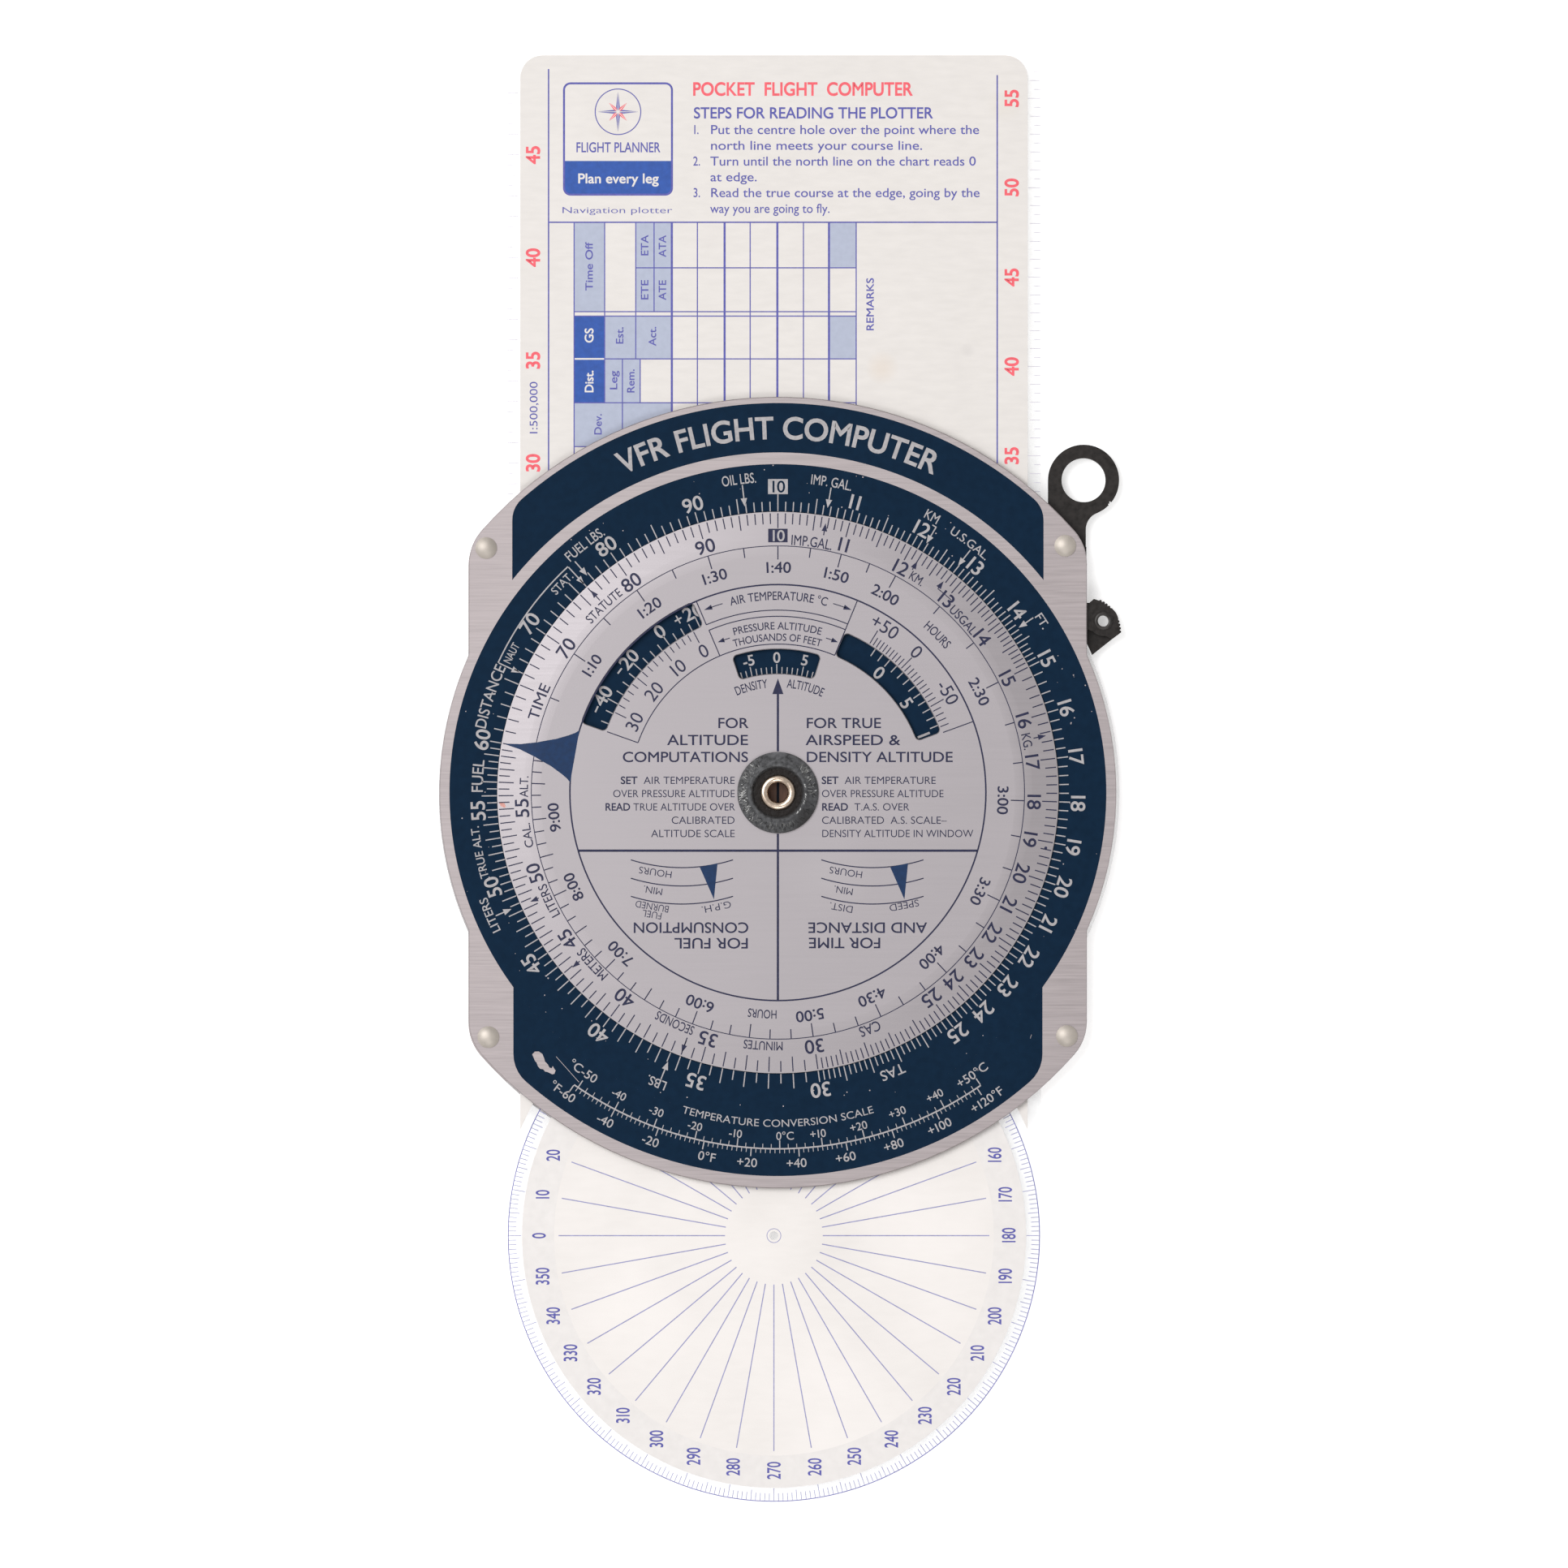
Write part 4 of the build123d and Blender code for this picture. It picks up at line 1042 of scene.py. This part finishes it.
for radius in range(150, 276, 25):
    grid_lines.text(str(radius - GRID_ZERO_R), 3.2 - CARD_X, GRID_FOOT + radius + 1.5, 1.9, weight=0.01)

# Pivot: painted shade down the eyelet's bore, with the card's centre line dark in it, and raised scuffs on
# the knob, some in painted highlight or shade
KNOB_TOP = top_of("pivot_knob")
KNOB_LIP_R, KNOB_CONE_DROP = 5.25, 1.1
KNOB_R = (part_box("pivot_knob")[1].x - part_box("pivot_knob")[0].x) / 2 / MM
BORE_R, BORE_DEPTH = 1.77, 0.5
on_bore = flat(PLATE_TOP - BORE_DEPTH)


def on_knob(x, y):
    """The knob's lip, and the cone that falls from it to the rim."""
    past = max(0, math.hypot(x, y) - KNOB_LIP_R)
    return KNOB_TOP - KNOB_CONE_DROP * past / (KNOB_R - KNOB_LIP_R)


# painted shade: a brown disc at the bottom of the bore, where the card lies in deep shadow
bore_painted_shade_disc = Print("bore_painted_shade_disc", "frame", "black_plastic", on_bore, finish=BORE_PAINTED_SHADE)
bore_painted_shade_disc.disc(0, 0, BORE_R, 32)
# painted shade: the card's centre line, seen dark in the bore's shade, as a stripe on the disc
bore_painted_shaded_line = Print("bore_painted_shaded_line", "frame", "black_plastic", on_bore, layer=1, finish=DEEP_PAINTED_SHADE)
bore_painted_shaded_line.line((0, -1.75), (0, 1.75), 0.45)
# strokes in painted shade, mid grey strokes, and strokes in painted highlight
shade_strokes = Print("knob_painted_shade_strokes", "dial", "black_plastic", on_knob, finish=PAINTED_SHADE_STROKE)
knob_scuffs = Print("knob_scuffs", "dial", "black_plastic", on_knob, layer=1, finish=SCUFF)
highlight_strokes = Print(
    "knob_painted_highlight_strokes", "dial", "black_plastic", on_knob, layer=2, finish=PAINTED_HIGHLIGHT_STROKE
)
for start, end, count, ink in (
    (32, 330, 170, shade_strokes), (38, 95, 60, knob_scuffs), (150, 325, 110, knob_scuffs),
    (40, 88, 12, highlight_strokes), (250, 285, 22, highlight_strokes), (215, 322, 16, highlight_strokes),
):
    for _ in range(count):
        cw, radius = dice.uniform(start, end), dice.uniform(5.4, 6.9)
        x, y = polar(radius, cw)
        # short raised strokes that lean either way from the radius
        lean, reach = math.radians(cw + dice.uniform(-45, 45)), dice.uniform(0.2, 0.75)
        dx, dy = reach * math.sin(lean), reach * math.cos(lean)
        if math.hypot(x + dx, y + dy) < KNOB_R - 0.15:
            ink.line((x, y), (x + dx, y + dy), dice.uniform(0.04, 0.11))
# painted glint of the knob well's right wall, as bright strokes on its lip
for _ in range(12):
    cw = dice.uniform(70, 135)
    highlight_strokes.line(polar(4.95, cw), polar(5.1, cw + dice.uniform(2, 5)), dice.uniform(0.06, 0.16))

for printed in PRINTS:
    printed.build()

# --- floor, light and camera ------------------------------------------------------------------------
floor_mesh = bpy.data.meshes.new("floor")
FLOOR_HALF = 3.0
floor_mesh.from_pydata(
    [(-FLOOR_HALF, -FLOOR_HALF, 0), (FLOOR_HALF, -FLOOR_HALF, 0), (FLOOR_HALF, FLOOR_HALF, 0),
     (-FLOOR_HALF, FLOOR_HALF, 0)],
    [], [[0, 1, 2, 3]],
)
floor = bpy.data.objects.new("floor", floor_mesh)
floor_finish = finish_of(
    "floor", (0.96, 0.96, 0.96), 0.8, contrast=0.01, grain=40, blotch=0.01, specular=0.1
)
# a little light of its own keeps the white ground from going grey beside the object
floor_shader = floor_finish.node_tree.nodes["Principled BSDF"]
floor_shader.inputs["Emission Color"].default_value = (1, 1, 1, 1)
floor_shader.inputs["Emission Strength"].default_value = 0.4
floor_mesh.materials.append(floor_finish)
FLOOR_GAP = 0.0008  # from the floor up to the rear plate
floor.location.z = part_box("rear_plate")[0].z - FLOOR_GAP
bpy.context.scene.collection.objects.link(floor)

world = bpy.data.worlds.new("studio")
bpy.context.scene.world = world
world.use_nodes = True
world.node_tree.nodes["Background"].inputs["Color"].default_value = (1.0, 0.99, 0.98, 1)
world.node_tree.nodes["Background"].inputs["Strength"].default_value = 0.52


def soft_light(name, place, size, power):
    lamp = bpy.data.lights.new(name, "AREA")
    lamp.shape, lamp.size, lamp.energy = "DISK", size, power
    holder = bpy.data.objects.new(name, lamp)
    holder.location = place
    holder.rotation_euler = (-Vector(place)).to_track_quat("-Z", "Y").to_euler()
    bpy.context.scene.collection.objects.link(holder)


soft_light("window_light", (-0.85, 0.5, 1.65), 1.4, 26)
soft_light("fill_light", (0.1, -1.1, 1.5), 0.8, 6)

CAMERA_X, CAMERA_Y, CAMERA_HEIGHT = 0.0011, (PIVOT_Y + 1.54) * MM, 1.5
FRAME_WIDTH = 0.283  # metres across the picture, at the instrument
camera = bpy.data.cameras.new("camera")
camera.sensor_width = 36.0
camera.lens = camera.sensor_width * CAMERA_HEIGHT / FRAME_WIDTH
camera_holder = bpy.data.objects.new("camera", camera)
camera_holder.location = (CAMERA_X, CAMERA_Y, CAMERA_HEIGHT)
bpy.context.scene.collection.objects.link(camera_holder)
bpy.context.scene.camera = camera_holder
bpy.context.scene.view_settings.view_transform = "Standard"
